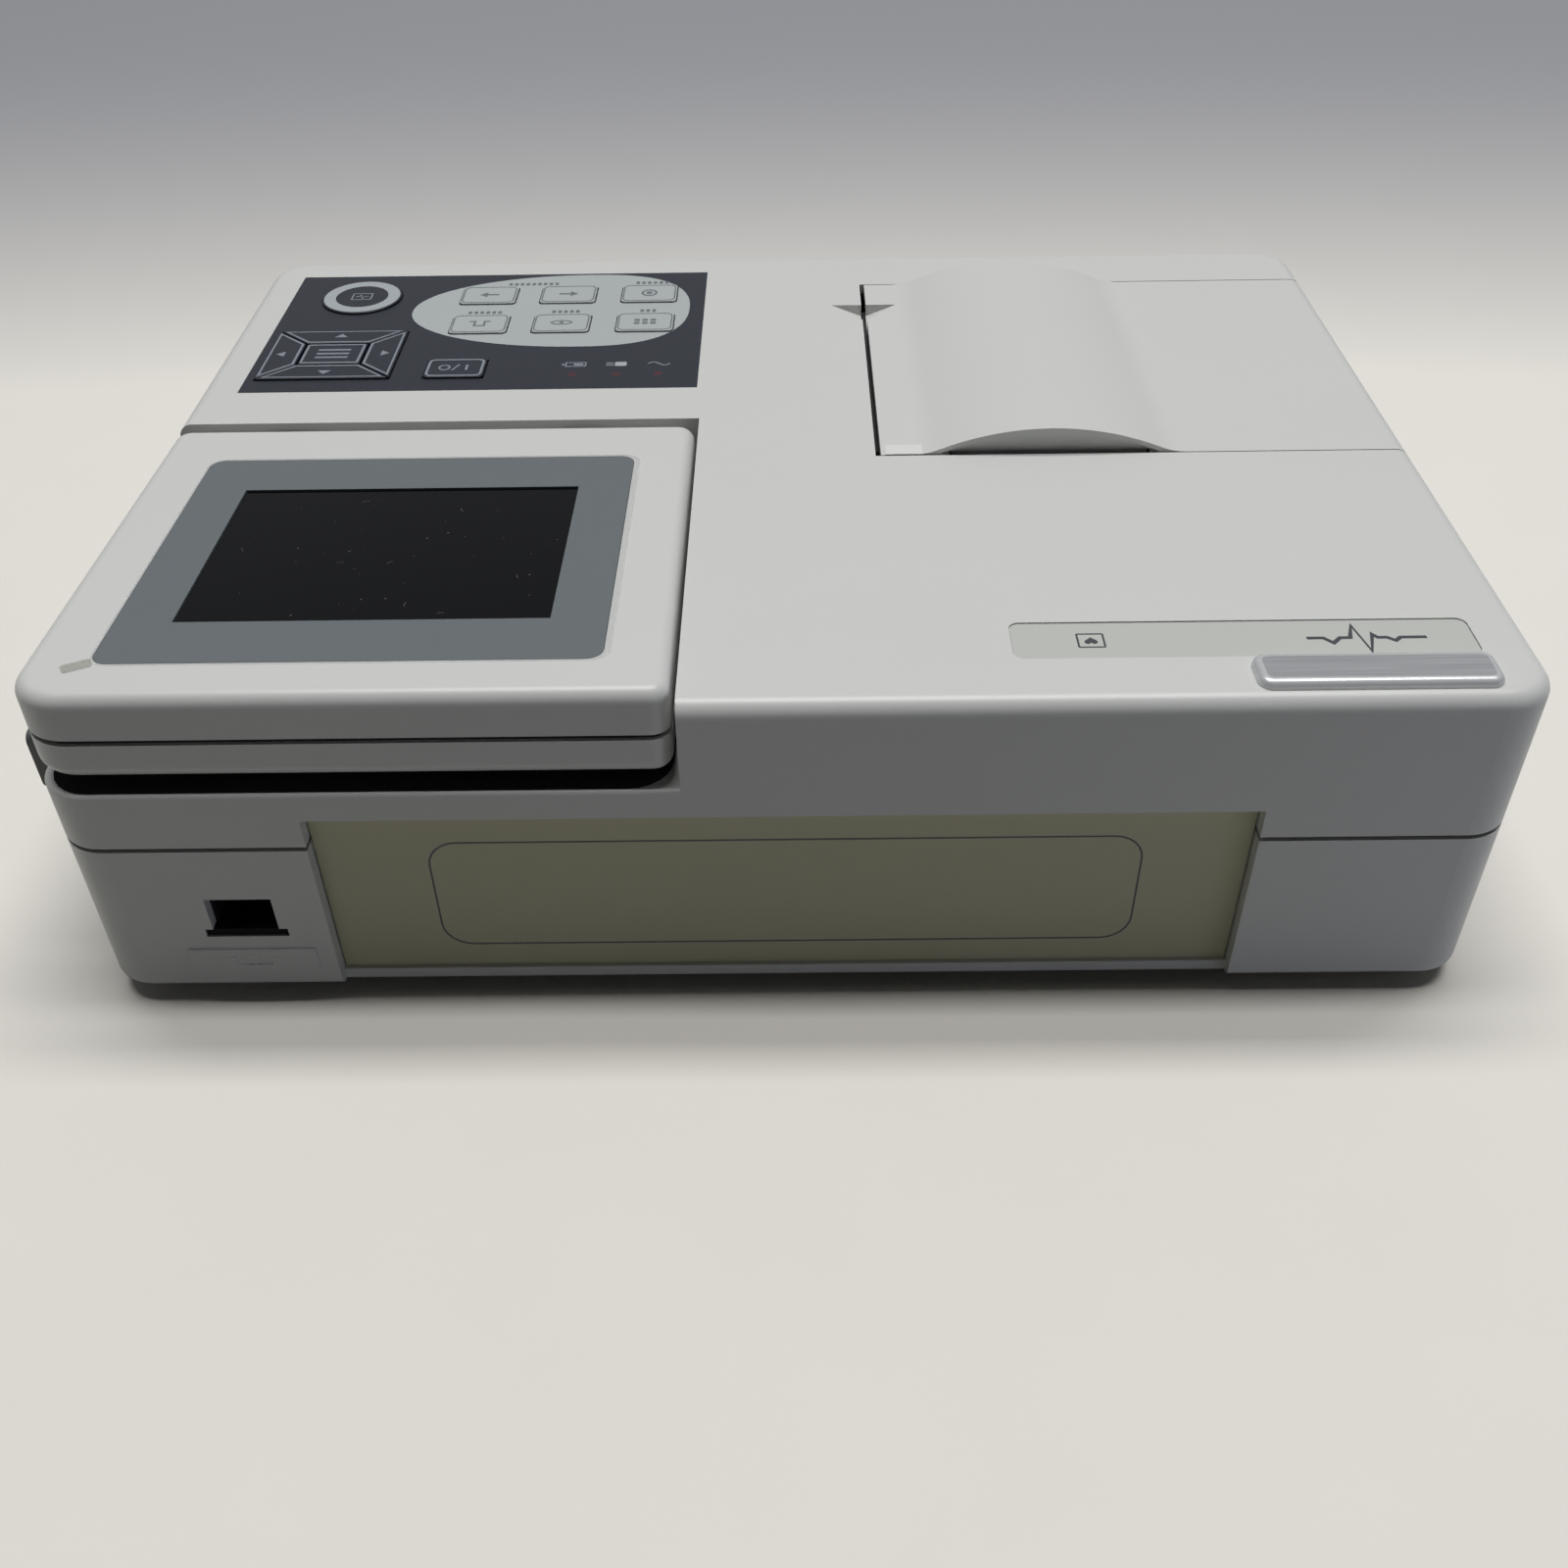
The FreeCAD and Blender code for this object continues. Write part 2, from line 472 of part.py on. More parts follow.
def plain_key(label, centre, width, depth):
    """A flat rectangular key with a wider foot that stops under the case skin."""
    key = Piece(label)
    key.box(CENTRED(centre[0], width), CENTRED(centre[1], depth), (KEY_LOW, KEY_TOP))
    key.round(size(1.2), upright)
    key.round(size(0.25), flat_at("Z", KEY_TOP))
    key.box(CENTRED(centre[0], width + 1.6), CENTRED(centre[1], depth - 3), (KEY_LOW, SKIN - 0.4))
    switch(*centre)


for label, spot in FUNCTION_KEYS.items():
    plain_key(label, spot, D["key_width"], D["key_depth"])
plain_key("key_power", POWER_KEY, D["key_width"], D["key_depth"] - 1)

key = Piece("key_print")
key.rod("z", ROUND_KEY, D["round_key_radius"], (KEY_LOW, KEY_TOP))
key.round(size(0.25), flat_at("Z", KEY_TOP))
key.rod("z", ROUND_KEY, D["round_key_radius"] + 0.9, (KEY_LOW, SKIN - 0.4))
switch(*ROUND_KEY)

half_gap = clear
aw, ad, mw, md = D["arrow_width"] / 2, D["arrow_depth"] / 2, D["menu_width"] / 2, D["menu_depth"] / 2
cx, cy = ARROW_PAD
key = Piece("key_menu")
key.box((cx - mw, cx + mw), (cy - md, cy + md), (KEY_LOW, KEY_TOP))
key.round(size(0.25), flat_at("Z", KEY_TOP))
switch(*ARROW_PAD)
mi_x, mi_y = mw + 2 * half_gap, md + 2 * half_gap
cut = half_gap
for label, sx, sy in (("key_left", -1, 0), ("key_right", 1, 0), ("key_down", 0, -1), ("key_up", 0, 1)):
    key = Piece(label)
    if sx:
        points = [(cx + sx * aw, cy - ad + cut), (cx + sx * aw, cy + ad - cut),
                  (cx + sx * mi_x, cy + mi_y - cut), (cx + sx * mi_x, cy - mi_y + cut)]
        foot_x, foot_y = (cx + sx * (aw - 1), cx + sx * (aw + 0.9)), CENTRED(cy, ad)
        foot_x = foot_x if sx > 0 else foot_x[::-1]
        spot = (cx + sx * (aw + mw) / 2, cy)
    else:
        points = [(cx - aw + cut, cy + sy * ad), (cx + aw - cut, cy + sy * ad),
                  (cx + mi_x - cut, cy + sy * mi_y), (cx - mi_x + cut, cy + sy * mi_y)]
        foot_x, foot_y = CENTRED(cx, aw), (cy + sy * (ad - 1), cy + sy * (ad + 0.9))
        foot_y = foot_y if sy > 0 else foot_y[::-1]
        spot = (cx, cy + sy * (ad + md) / 2)
    key.prism("XY", points, (KEY_LOW, KEY_TOP))
    key.round(size(0.25), flat_at("Z", KEY_TOP))
    key.box(foot_x, foot_y, (KEY_LOW, SKIN - 0.4))
    switch(*spot)

# screen: two housings, bezel, display, hinge; drawn closed, then turned to its rest tilt
SX = (pocket_x + D["screen_gap"], HALF_W - D["screen_inset"] / 2)
SY = (pocket_y + D["screen_front_gap"], HALF_D - D["screen_inset"])
S_LOW = ledge + D["screen_drop"]
S_TOP = S_LOW + D["screen_thick"]
S_SEAM = S_LOW + D["screen_back_thick"]
AXIS_Y, AXIS_Z = SY[0] + D["hinge_back"], S_TOP - D["hinge_down"]
S_WALL = D["screen_wall"]
LUGS = [(SX[0] + SX[1]) / 2 + s * D["lug_spacing"] / 2 for s in (-1, 1)]
SCREEN = []


def on_screen(piece):
    """Turn a screen piece about the hinge axis to the rest tilt."""
    body = piece.body
    body.Placement = FreeCAD.Placement(FreeCAD.Vector(), FreeCAD.Rotation(FreeCAD.Vector(1, 0, 0), 1))
    bind(body, "Placement.Rotation.Angle", D["rest_tilt"])
    tilt = f"{D['rest_tilt'].text} * 1 deg"
    y, z = AXIS_Y.text, AXIS_Z.text
    bind(body, "Placement.Base.x", SHIFT)
    body.setExpression("Placement.Base.y", f"{y} - {y} * cos({tilt}) + {z} * sin({tilt})")
    body.setExpression("Placement.Base.z", f"{z} - {y} * sin({tilt}) - {z} * cos({tilt})")


front = Piece("screen_front")
front.box(SX, SY, (S_SEAM + D["screen_seam"] / 2, S_TOP))
front.round(D["screen_corner"], near(SX[1], SY[1]))
front.round(D["screen_small_corner"], lambda e: upright(e) and any(
    near(a, b)(e) for a, b in ((SX[0], SY[0]), (SX[0], SY[1]), (SX[1], SY[0]))))
front.hollow(S_WALL, face_at("Z", S_SEAM + D["screen_seam"] / 2))
front.round(D["screen_round"], flat_at("Z", S_TOP))
BEZ_X = (SX[0] + D["bezel_inner_margin"], SX[0] + D["bezel_inner_margin"] + D["bezel_width"])
BEZ_Y = (SY[1] - D["bezel_rear_margin"] - D["bezel_depth"], SY[1] - D["bezel_rear_margin"])
LCD_X = CENTRED((BEZ_X[0] + BEZ_X[1]) / 2, D["lcd_width"])
LCD_Y = CENTRED((BEZ_Y[0] + BEZ_Y[1]) / 2, D["lcd_depth"])
front.cut_box(BEZ_X, BEZ_Y, (S_TOP - D["bezel_thick"], S_TOP + 1))
front.round(D["bezel_radius"], corners_of(BEZ_X, BEZ_Y))
front.cut_box(LCD_X, LCD_Y, (S_TOP - S_WALL - 1, S_TOP + 1))
POSTS = [(x, y) for x in (SX[0] + 7, SX[1] - 9) for y in (SY[0] + 16, SY[1] - 9)]
for x, y in POSTS:
    front.rod("z", (x, y), 3, (S_SEAM, S_TOP - S_WALL + 0.5))
    front.bore("z", (x, y), 1.1, (S_SEAM - 1, S_TOP - S_WALL - 1))
for lug in LUGS:
    front.box((lug - D["lug_width"], lug + D["lug_width"]), (SY[0] + 1, AXIS_Y + 4),
              (AXIS_Z - 3.4, S_TOP - S_WALL + 0.5))
    front.cut_box(CENTRED(lug, D["lug_width"] + 1.2), (SY[0] - 1, AXIS_Y + 5), (S_LOW - 1, S_TOP - S_WALL))
    front.bore("x", (AXIS_Y, AXIS_Z), D["hinge_pin_radius"],
               (lug - D["lug_width"] + 0.5, lug + D["lug_width"] - 0.5))
on_screen(front)

back = Piece("screen_back")
back.box(SX, SY, (S_LOW, S_SEAM - D["screen_seam"] / 2))
back.round(D["screen_corner"], near(SX[1], SY[1]))
back.round(D["screen_small_corner"], lambda e: upright(e) and any(
    near(a, b)(e) for a, b in ((SX[0], SY[0]), (SX[0], SY[1]), (SX[1], SY[0]))))
back.hollow(S_WALL, face_at("Z", S_SEAM - D["screen_seam"] / 2))
back.round(size(3), flat_at("Z", S_LOW))
for x, y in POSTS:
    back.rod("z", (x, y), 3.4, (S_LOW + 1, S_SEAM))
    back.bore("z", (x, y), 1.1, (S_LOW - 1, S_SEAM + 1))
    back.bore("z", (x, y), 2.3, (S_LOW - 1, S_LOW + 2.5))
for lug in LUGS:
    back.cut_box(CENTRED(lug, 2 * D["lug_width"] + 1), (SY[0] - 1, AXIS_Y + 8), (S_LOW - 1, S_SEAM + 1))
# the lower front edge slopes so that it clears the ledge as the screen tilts
back.prism("YZ", [(SY[0] - 1, S_LOW - 1), (AXIS_Y, S_LOW - 1), (AXIS_Y, S_LOW), (SY[0], S_LOW + 2.2),
                  (SY[0] - 1, S_LOW + 2.2)], (SX[0] - 1, SX[1] + 1), cut=True)
on_screen(back)

bezel = Piece("screen_bezel")
bezel.box((BEZ_X[0] + 0.15, BEZ_X[1] - 0.15), (BEZ_Y[0] + 0.15, BEZ_Y[1] - 0.15),
          (S_TOP - D["bezel_thick"], S_TOP))
bezel.round(D["bezel_radius"] - 0.15, upright)
bezel.cut_box(LCD_X, LCD_Y, (S_TOP - D["bezel_thick"] - 1, S_TOP + 1))
on_screen(bezel)

lcd = Piece("lcd_panel")
lcd.box((LCD_X[0] - 4, LCD_X[1] + 4), (LCD_Y[0] - 4, LCD_Y[1] + 4), (S_TOP - S_WALL - 5, S_TOP - S_WALL))
lcd.box((LCD_X[0] + 0.2, LCD_X[1] - 0.2), (LCD_Y[0] + 0.2, LCD_Y[1] - 0.2),
        (S_TOP - S_WALL - 1, S_TOP - D["display_drop"]))
on_screen(lcd)

screws = Piece("screen_screws", loose=True)
for x, y in POSTS:
    screws.rod("z", (x, y), 1.1, (S_LOW + 1, S_SEAM + 4))
    screws.rod("z", (x, y), 2.1, (S_LOW + 0.7, S_LOW + 2.5))
on_screen(screws)

pins = Piece("hinge_pins", loose=True)
for lug in LUGS:
    pins.rod("x", (AXIS_Y, AXIS_Z), D["hinge_pin_radius"],
             (lug - D["lug_width"] + 0.6, lug + D["lug_width"] - 0.6))
on_screen(pins)

brackets = Piece("hinge_brackets", loose=True)
for lug in LUGS:
    span = CENTRED(lug, D["lug_width"])
    brackets.box(span, (AXIS_Y - 3, AXIS_Y + 3), (ledge - 1.5, AXIS_Z))
    brackets.rod("x", (AXIS_Y, AXIS_Z), 3, span)
    brackets.bore("x", (AXIS_Y, AXIS_Z), D["hinge_pin_radius"] + D["run_clear"], (span[0] - 1, span[1] + 1))
    upper.cut_box(span, (AXIS_Y - 3, AXIS_Y + 3), (ledge - 1.5, ledge + 1))

# rear plate, label strip and badge
plate = Piece("rear_plate")
plate.box((-recess_half + 0.3, recess_half - 0.3), (recess_floor, recess_floor + D["plate_thick"]),
          (BOTTOM + D["recess_lip"] + 1, D["recess_top"] - 0.3))
LABEL_X, LABEL_Y = (LEFT + 11.1, LEFT + 99.5), (REAR - 25.9, REAR - 14)
SEAT_X, SEAT_Y = (LABEL_X[0] - 0.15, LABEL_X[1] + 0.15), (LABEL_Y[0] - 0.15, LABEL_Y[1] + 0.15)
label_floor = TOP - D["label_sink"]
upper.cut_box(SEAT_X, SEAT_Y, (label_floor, TOP + 1))
upper.round(size(2.15), corners_of(SEAT_X, SEAT_Y))
label = Piece("top_label")
label.box(LABEL_X, LABEL_Y, (label_floor, label_floor + D["label_thick"]))
label.round(size(2), upright)
badge = Piece("top_badge")
badge.box((LEFT + 10.5, LEFT + 55.8), (REAR - 12.9, REAR - 3), (TOP, TOP + 1.8))
badge.round(size(2.5), upright)
badge.round(size(1.4), flat_at("Z", TOP + 1.8))

# feet and screws
feet = Piece("rubber_feet", loose=True)
for x, y in FOOT_SPOTS:
    feet.rod("z", (x, y), D["foot_radius"], (0, BOTTOM))
feet.round(size(1), flat_at("Z", size(0)))
case_screws = Piece("case_screws", loose=True)
for bx, by in BOSSES:
    case_screws.rod("z", (bx, by), D["screw_radius"], (BOTTOM + 1, BOSS_TOP + 8))
    case_screws.rod("z", (bx, by), D["screw_radius"] + 1.4, (BOTTOM + 1, BOTTOM + 3))

cover = Piece("battery_cover")
cover.box((bat_x[0] - 2.7, bat_x[1] + 2.7), (bat_y[0] - 2.7, bat_y[1] + 2.7), (BOTTOM, BOTTOM + 1.5))
pack = Piece("battery_pack")
pack.box((bat_x[0] + 2, bat_x[1] - 2), (bat_y[0] + 2, bat_y[1] - 2), (BOTTOM + 1.5, BOTTOM + 21.5))
pack.round(size(3), lambda e: abs(e.BoundBox.XLength - e.Length) < 1e-3 and e.Length > 20)

# boards and connectors
main = Piece("main_board")
main.box((RIGHT - 144, RIGHT - 20), (REAR - 127.5, REAR - 9.5), (BOARD_Z, BOARD_Z + D["board_thick"]))
main.box((RIGHT - 124, RIGHT - 96), (REAR - 87.5, REAR - 59.5), (BOARD_Z + 1, BOARD_Z + 4))
main.box((RIGHT - 84, RIGHT - 69), (REAR - 102.5, REAR - 77.5), (BOARD_Z + 1, BOARD_Z + 3.5))
main.box((RIGHT - 124, RIGHT - 84), (REAR - 45.5, REAR - 35.5), (BOARD_Z + 1, BOARD_Z + 8))
supply = Piece("power_supply")
supply.box((LEFT + 32, LEFT + 114), (REAR - 85.5, REAR - 11.5), (SUPPLY_Z, SUPPLY_Z + D["board_thick"]))
supply.box((LEFT + 54, LEFT + 84), (REAR - 57.5, REAR - 27.5), (SUPPLY_Z + 1, SUPPLY_Z + 25))
supply.box((LEFT + 90, LEFT + 98), (REAR - 77.5, REAR - 17.5), (SUPPLY_Z + 1, SUPPLY_Z + 22))
supply.rod("z", (LEFT + 44, REAR - 67.5), 8, (SUPPLY_Z + 1, SUPPLY_Z + 24))
jack = Piece("network_jack")
JACK_LOW = BOARD_Z + D["board_thick"]
jack_rear = HALF_D - WALL
jack.box(CENTRED(D["jack_x"], 16), (jack_rear - 18, jack_rear), (JACK_LOW, JACK_LOW + 13.4))
jack.box(CENTRED(D["jack_x"], D["jack_open_width"] + 3.3), (jack_rear - 2, HALF_D - 0.5),
         (D["jack_open_low"] - 1.5, D["jack_open_low"] + 0.2))
jack.cut_box(CENTRED(D["jack_x"], 11.8), (jack_rear - 13, jack_rear + 1),
             (D["jack_open_low"] + 0.4, D["jack_open_high"] - 1.2))
jack.cut_box(CENTRED(D["jack_x"], 6), (jack_rear - 13, jack_rear + 1),
             (D["jack_open_low"] - 1, D["jack_open_low"] + 1))

hood = Piece("patient_hood")
HOOD_X = (HALF_W, HALF_W + D["hood_reach"])
hood.box(HOOD_X, HOOD_Y, (D["hood_low"], D["hood_high"]))
hood.round(size(2), lambda e: abs(e.BoundBox.XLength - e.Length) < 1e-3)
hood.cut_box((HALF_W - 1, HOOD_X[1] + 1), CENTRED(HOOD_MID_Y, D["hood_width"] - 4.4),
             CENTRED(HOOD_MID_Z, 10.9))
socket = Piece("patient_socket")
socket.box((HALF_W, HALF_W + 1), CENTRED(HOOD_MID_Y, D["hood_width"] - 4.6), CENTRED(HOOD_MID_Z, 10.6))
socket.box((HALF_W - 12, HALF_W + 0.5), CENTRED(HOOD_MID_Y, 24.6), CENTRED(HOOD_MID_Z, 7.4))
socket.prism("YZ", [(HOOD_MID_Y - 12.4, HOOD_MID_Z + 4), (HOOD_MID_Y - 11.2, HOOD_MID_Z - 4),
                    (HOOD_MID_Y + 11.2, HOOD_MID_Z - 4), (HOOD_MID_Y + 12.4, HOOD_MID_Z + 4)],
             (HALF_W + 0.5, HALF_W + 6.2))
for row, (count, dz) in enumerate(((8, 1.4), (7, -1.4))):
    for i in range(count):
        spot_y = HOOD_MID_Y + (i - (count - 1) / 2) * 2.76
        socket.bore("x", (spot_y, HOOD_MID_Z + dz), 0.55, (HALF_W + 1, HALF_W + 7))
JACK_SCREWS = [HOOD_MID_Y + s * 16.65 for s in (-1, 1)]
jack_screws = Piece("jack_screws", loose=True)
for y in JACK_SCREWS:
    socket.bore("x", (y, HOOD_MID_Z), 1.6, (HALF_W - 1, HALF_W + 2))
    jack_screws.rod("x", (y, HOOD_MID_Z), 2.6, (HALF_W + 1, HALF_W + 6))
    jack_screws.rod("x", (y, HOOD_MID_Z), 1.6, (HALF_W, HALF_W + 2))
    jack_screws.bore("x", (y, HOOD_MID_Z), 1.4, (HALF_W + 2, HALF_W + 7))

inlet = Piece("mains_inlet")
inlet.box((-HALF_W, -HALF_W + 1.5), CENTRED(D["inlet_y"], 30.6), CENTRED(INLET_Z, 24.6))
inlet.box((-HALF_W + 1, -HALF_W + 26), CENTRED(D["inlet_y"], 27), CENTRED(INLET_Z, 19.6))
inlet.cut_box((-HALF_W - 1, -HALF_W + 19), CENTRED(D["inlet_y"], 24), CENTRED(INLET_Z, 16.6))
for dy, dz in ((-7, -2), (7, -2), (0, 3)):
    inlet.box((-HALF_W + 3, -HALF_W + 20), CENTRED(D["inlet_y"] + dy, 2), CENTRED(INLET_Z + dz, 4))
switch_body = Piece("mains_switch")
switch_body.box((-HALF_W, -HALF_W + 1.5), CENTRED(D["switch_y"], 14.6), CENTRED(SWITCH_Z, 20.6))
switch_body.box((-HALF_W + 1, -HALF_W + 16), CENTRED(D["switch_y"], 12.8), CENTRED(SWITCH_Z, 18.8))
switch_body.cut_box((-HALF_W - 1, -HALF_W + 9), CENTRED(D["switch_y"], 10.6), CENTRED(SWITCH_Z, 16.6))
ROCK_X = -HALF_W + 5
switch_body.bore("y", (ROCK_X, SWITCH_Z), 1.05, (D["switch_y"] - 5.8, D["switch_y"] + 5.8))
rocker = Piece("mains_rocker")
rocker.prism("XZ", [(ROCK_X - 3.4, SWITCH_Z - 7.4), (ROCK_X - 2.4, SWITCH_Z), (ROCK_X - 3.4, SWITCH_Z + 7.4),
                    (ROCK_X + 0.5, SWITCH_Z + 7.2), (ROCK_X + 2.2, SWITCH_Z), (ROCK_X + 0.5, SWITCH_Z - 7.2)],
             CENTRED(D["switch_y"], 10))
rocker.rod("y", (ROCK_X, SWITCH_Z), 1, CENTRED(D["switch_y"], 11.4))
turn = f"{D['rocker_tilt'].text} * 1 deg"
rocker.body.Placement = FreeCAD.Placement(FreeCAD.Vector(), FreeCAD.Rotation(FreeCAD.Vector(0, 1, 0), 1))
bind(rocker.body, "Placement.Rotation.Angle", D["rocker_tilt"])
px, pz = ROCK_X.text, SWITCH_Z.text
rocker.body.setExpression("Placement.Base.x",
                          f"{SHIFT.text} + {px} - {px} * cos({turn}) - {pz} * sin({turn})")
rocker.body.setExpression("Placement.Base.z", f"{pz} + {px} * sin({turn}) - {pz} * cos({turn})")
earth = Piece("earth_pin")
earth.rod("x", (D["earth_y"], EARTH_Z), 3, (-HALF_W, -HALF_W + 9))
earth.rod("x", (D["earth_y"], EARTH_Z), 5, (-HALF_W + WALL, -HALF_W + WALL + 3))

# recorder door with its hump, platen arms and hinge barrel
DOOR_Y = (bay_y[0] + D["door_gap"], bay_y[1] - D["door_gap"])
DOOR_EDGE = D["slot_x"] - D["slot_width"] / 2
DW = D["door_wall"]
door = Piece("recorder_door")


def door_section(body):
    """Closed section of the door in XZ: flat, hump, flat and the turned-down outer edge."""
    sketch = body.newObject("Sketcher::SketchObject", "recorder_door_section")
    plane = [o for o in body.Origin.OriginFeatures if o.Name.startswith("XZ_Plane")][0]
    sketch.AttachmentSupport = (plane, [""])
    sketch.MapMode = "FlatFace"
    bind(sketch, "AttachmentOffset.Base.z", -DOOR_Y[1])
    rise, half = D["hump_rise"], D["hump_half"]
    radius = (half * half + rise * rise) / (2 * rise)
    centre = (D["hump_x"], TOP + rise - radius)
    inner = radius - DW
    drop = TOP - DW - centre[1]
    reach = math.sqrt(inner.value ** 2 - drop.value ** 2)
    inner_half = Size(f"sqrt({inner.text}^2 - {drop.text}^2)", reach)
    corners = [(DOOR_EDGE, TOP), (D["hump_x"] + half, TOP), (D["hump_x"] - half, TOP), (-HALF_W, TOP),
               (-HALF_W, HINGE_Z), (-HALF_W + DW, HINGE_Z), (-HALF_W + DW, TOP - DW),
               (D["hump_x"] - inner_half, TOP - DW), (D["hump_x"] + inner_half, TOP - DW),
               (DOOR_EDGE, TOP - DW)]
    vec = [FreeCAD.Vector(a.value, b.value, 0) for a, b in corners]
    arcs = {1: radius, 7: inner}
    for i, point in enumerate(vec):
        nxt = vec[(i + 1) % len(vec)]
        if i in arcs:
            middle = FreeCAD.Vector(centre[0].value, centre[1].value, 0)
            circle = Part.Circle(middle, FreeCAD.Vector(0, 0, 1), arcs[i].value)
            angles = sorted(math.atan2(p.y - middle.y, p.x - middle.x) for p in (point, nxt))
            sketch.addGeometry(Part.ArcOfCircle(circle, *angles), False)
        else:
            sketch.addGeometry(Part.LineSegment(point, nxt), False)

    def ends(i):
        """Start and end point numbers of an element, following the outline."""
        geometry = sketch.Geometry[i]
        return (1, 2) if geometry.StartPoint.distanceToPoint(vec[i]) < 1e-4 else (2, 1)

    for i in range(len(vec)):
        before = (i - 1) % len(vec)
        sketch.addConstraint(Sketcher.Constraint("Coincident", before, ends(before)[1], i, ends(i)[0]))
    for i, (a, b) in enumerate(corners):
        for kind, value in (("DistanceX", a), ("DistanceY", b)):
            number = sketch.addConstraint(Sketcher.Constraint(kind, i, ends(i)[0], value.value))
            sketch.setExpression(f"Constraints[{number}]", value.text)
    for i, value in arcs.items():
        number = sketch.addConstraint(Sketcher.Constraint("Radius", i, value.value))
        sketch.setExpression(f"Constraints[{number}]", value.text)
    return sketch


section = door_section(door.body)
pad = door.feature("Pad")
pad.Profile = section
bind(pad, "Length", DOOR_Y[1] - DOOR_Y[0])
door.round(D["top_round"], lambda e: flat_at("X", -HALF_W)(e) and flat_at("Z", TOP)(e))
for sx in (-1, 1):
    foot = D["hump_x"] + sx * D["hump_half"]
    door.round(D["hump_blend"], lambda e: flat_at("X", foot)(e) and flat_at("Z", TOP)(e))
door.rod("y", (HINGE_X, HINGE_Z), D["barrel_radius"], DOOR_Y)
# the hump's two ends: a thin rim standing past a wall that closes the hump
HUMP_RADIUS = (D["hump_half"] * D["hump_half"] + D["hump_rise"] * D["hump_rise"]) / (2 * D["hump_rise"])


def hump_arc(inside, share, low):
    """Outline under an arc that lies a little inside the hump, closed by a level line."""
    radius = HUMP_RADIUS - inside
    points = []
    for step in range(-5, 6):
        off = D["hump_half"] * (step * share / 5)
        rise = radius * radius - off * off
        height = TOP + D["hump_rise"] - HUMP_RADIUS + Size(f"sqrt({rise.text})", math.sqrt(rise.value))
        points.append((D["hump_x"] + off, height))
    return points + [(points[-1][0], low), (points[0][0], low)]


WALL_Y = (DOOR_Y[0] + D["rim_depth"], DOOR_Y[1] - D["rim_depth"])
for rim, wall in (((DOOR_Y[0] - 1, WALL_Y[0]), (WALL_Y[0], WALL_Y[0] + 1.5)),
                  ((WALL_Y[1], DOOR_Y[1] + 1), (WALL_Y[1] - 1.5, WALL_Y[1]))):
    door.prism("XZ", hump_arc(D["rim_thick"], 0.88, TOP), rim, cut=True)
    door.prism("XZ", hump_arc(DW / 2, 0.8, TOP - 1.2), wall)
for a, b in ((DOOR_Y[0] - 1, DOOR_Y[0] + 8), (DOOR_Y[1] - 8, DOOR_Y[1] + 1)):
    door.bore("y", (HINGE_X, HINGE_Z), D["door_pin_radius"], (a, b))
PAPER_Y = CENTRED((bay_y[0] + bay_y[1]) / 2, D["paper_width"])
ARMS = [(PAPER_Y[0] - 3.2, PAPER_Y[0] - 0.7), (PAPER_Y[1] + 0.7, PAPER_Y[1] + 3.2)]
PX, PZ = D["platen_x"], D["platen_z"]
for arm in ARMS:
    door.box((PX - 5.5, PX + 5.5), arm, (PZ - 5, TOP - 1))
    door.bore("y", (PX, PZ), D["shaft_radius"] + D["run_clear"], (arm[0] - 1, arm[1] + 1))
TAB_X, TAB_Y = (DOOR_EDGE - 9.5, DOOR_EDGE - 1), (DOOR_Y[1] - 4.5, DOOR_Y[1])
door.cut_box(TAB_X, (TAB_Y[0], DOOR_Y[1] + 1), (TOP - 1, TOP + 1))
door.box((DOOR_EDGE - 9, DOOR_EDGE), (scoop_y[0] - 1, scoop_y[1] + 1), (SCOOP_UNDER, TOP - DW / 2))
door.scoop(DOOR_EDGE, D["slot_x"] - 8.6, scoop_y, SCOOP_Z)
tab = Piece("door_tab")
tab.box(TAB_X, TAB_Y, (TOP - 1, TOP + 0.2))
door_pins = Piece("door_pins", loose=True)
for a, b in ((DOOR_Y[0] - 4.5, DOOR_Y[0] + 7.5), (DOOR_Y[1] - 7.5, DOOR_Y[1] + 4.5)):
    door_pins.rod("y", (HINGE_X, HINGE_Z), D["door_pin_radius"], (a, b))

# recorder frame under the door
GEAR_Y = (ARMS[1][1] + 0.4, ARMS[1][1] + 0.4 + D["gear_width"])
PLATE_Y = (GEAR_Y[1] + 1.2, GEAR_Y[1] + 3.2)
ROLL = (D["roll_x"], D["roll_z"])
TRAY_X = (ROLL[0] - D["roll_radius"] - 10, ROLL[0] + D["roll_radius"] + 10)
TRAY_Z = ROLL[1] - D["roll_radius"] - 3
WALL_F, WALL_R = (PAPER_Y[0] - 5, PAPER_Y[0] - 3), (PAPER_Y[1] + 0.5, PAPER_Y[1] + 2.5)
frame = Piece("recorder_frame")
frame.box(TRAY_X, (WALL_F[0], WALL_R[1]), (TRAY_Z - 2, TRAY_Z))
frame.box((TRAY_X[0], TRAY_X[0] + 2), (WALL_F[0], WALL_R[1]), (TRAY_Z - 1, EAR_Z))
frame.box((TRAY_X[1] - 2, TRAY_X[1]), (WALL_F[0], WALL_R[1]), (TRAY_Z - 1, PZ - 8.5))
journal = size(3)
for wall in (WALL_F, WALL_R):
    frame.box((TRAY_X[0], PX - 8), wall, (TRAY_Z - 1, EAR_Z))
    frame.box((PX - 9, TRAY_X[1]), wall, (TRAY_Z - 1, PZ - 8.5))
    frame.bore("y", ROLL, journal + D["run_clear"], (wall[0] - 1, wall[1] + 1))
    frame.cut_box(CENTRED(ROLL[0], 2 * (journal + D["run_clear"])), (wall[0] - 1, wall[1] + 1),
                  (ROLL[1], EAR_Z + 1))
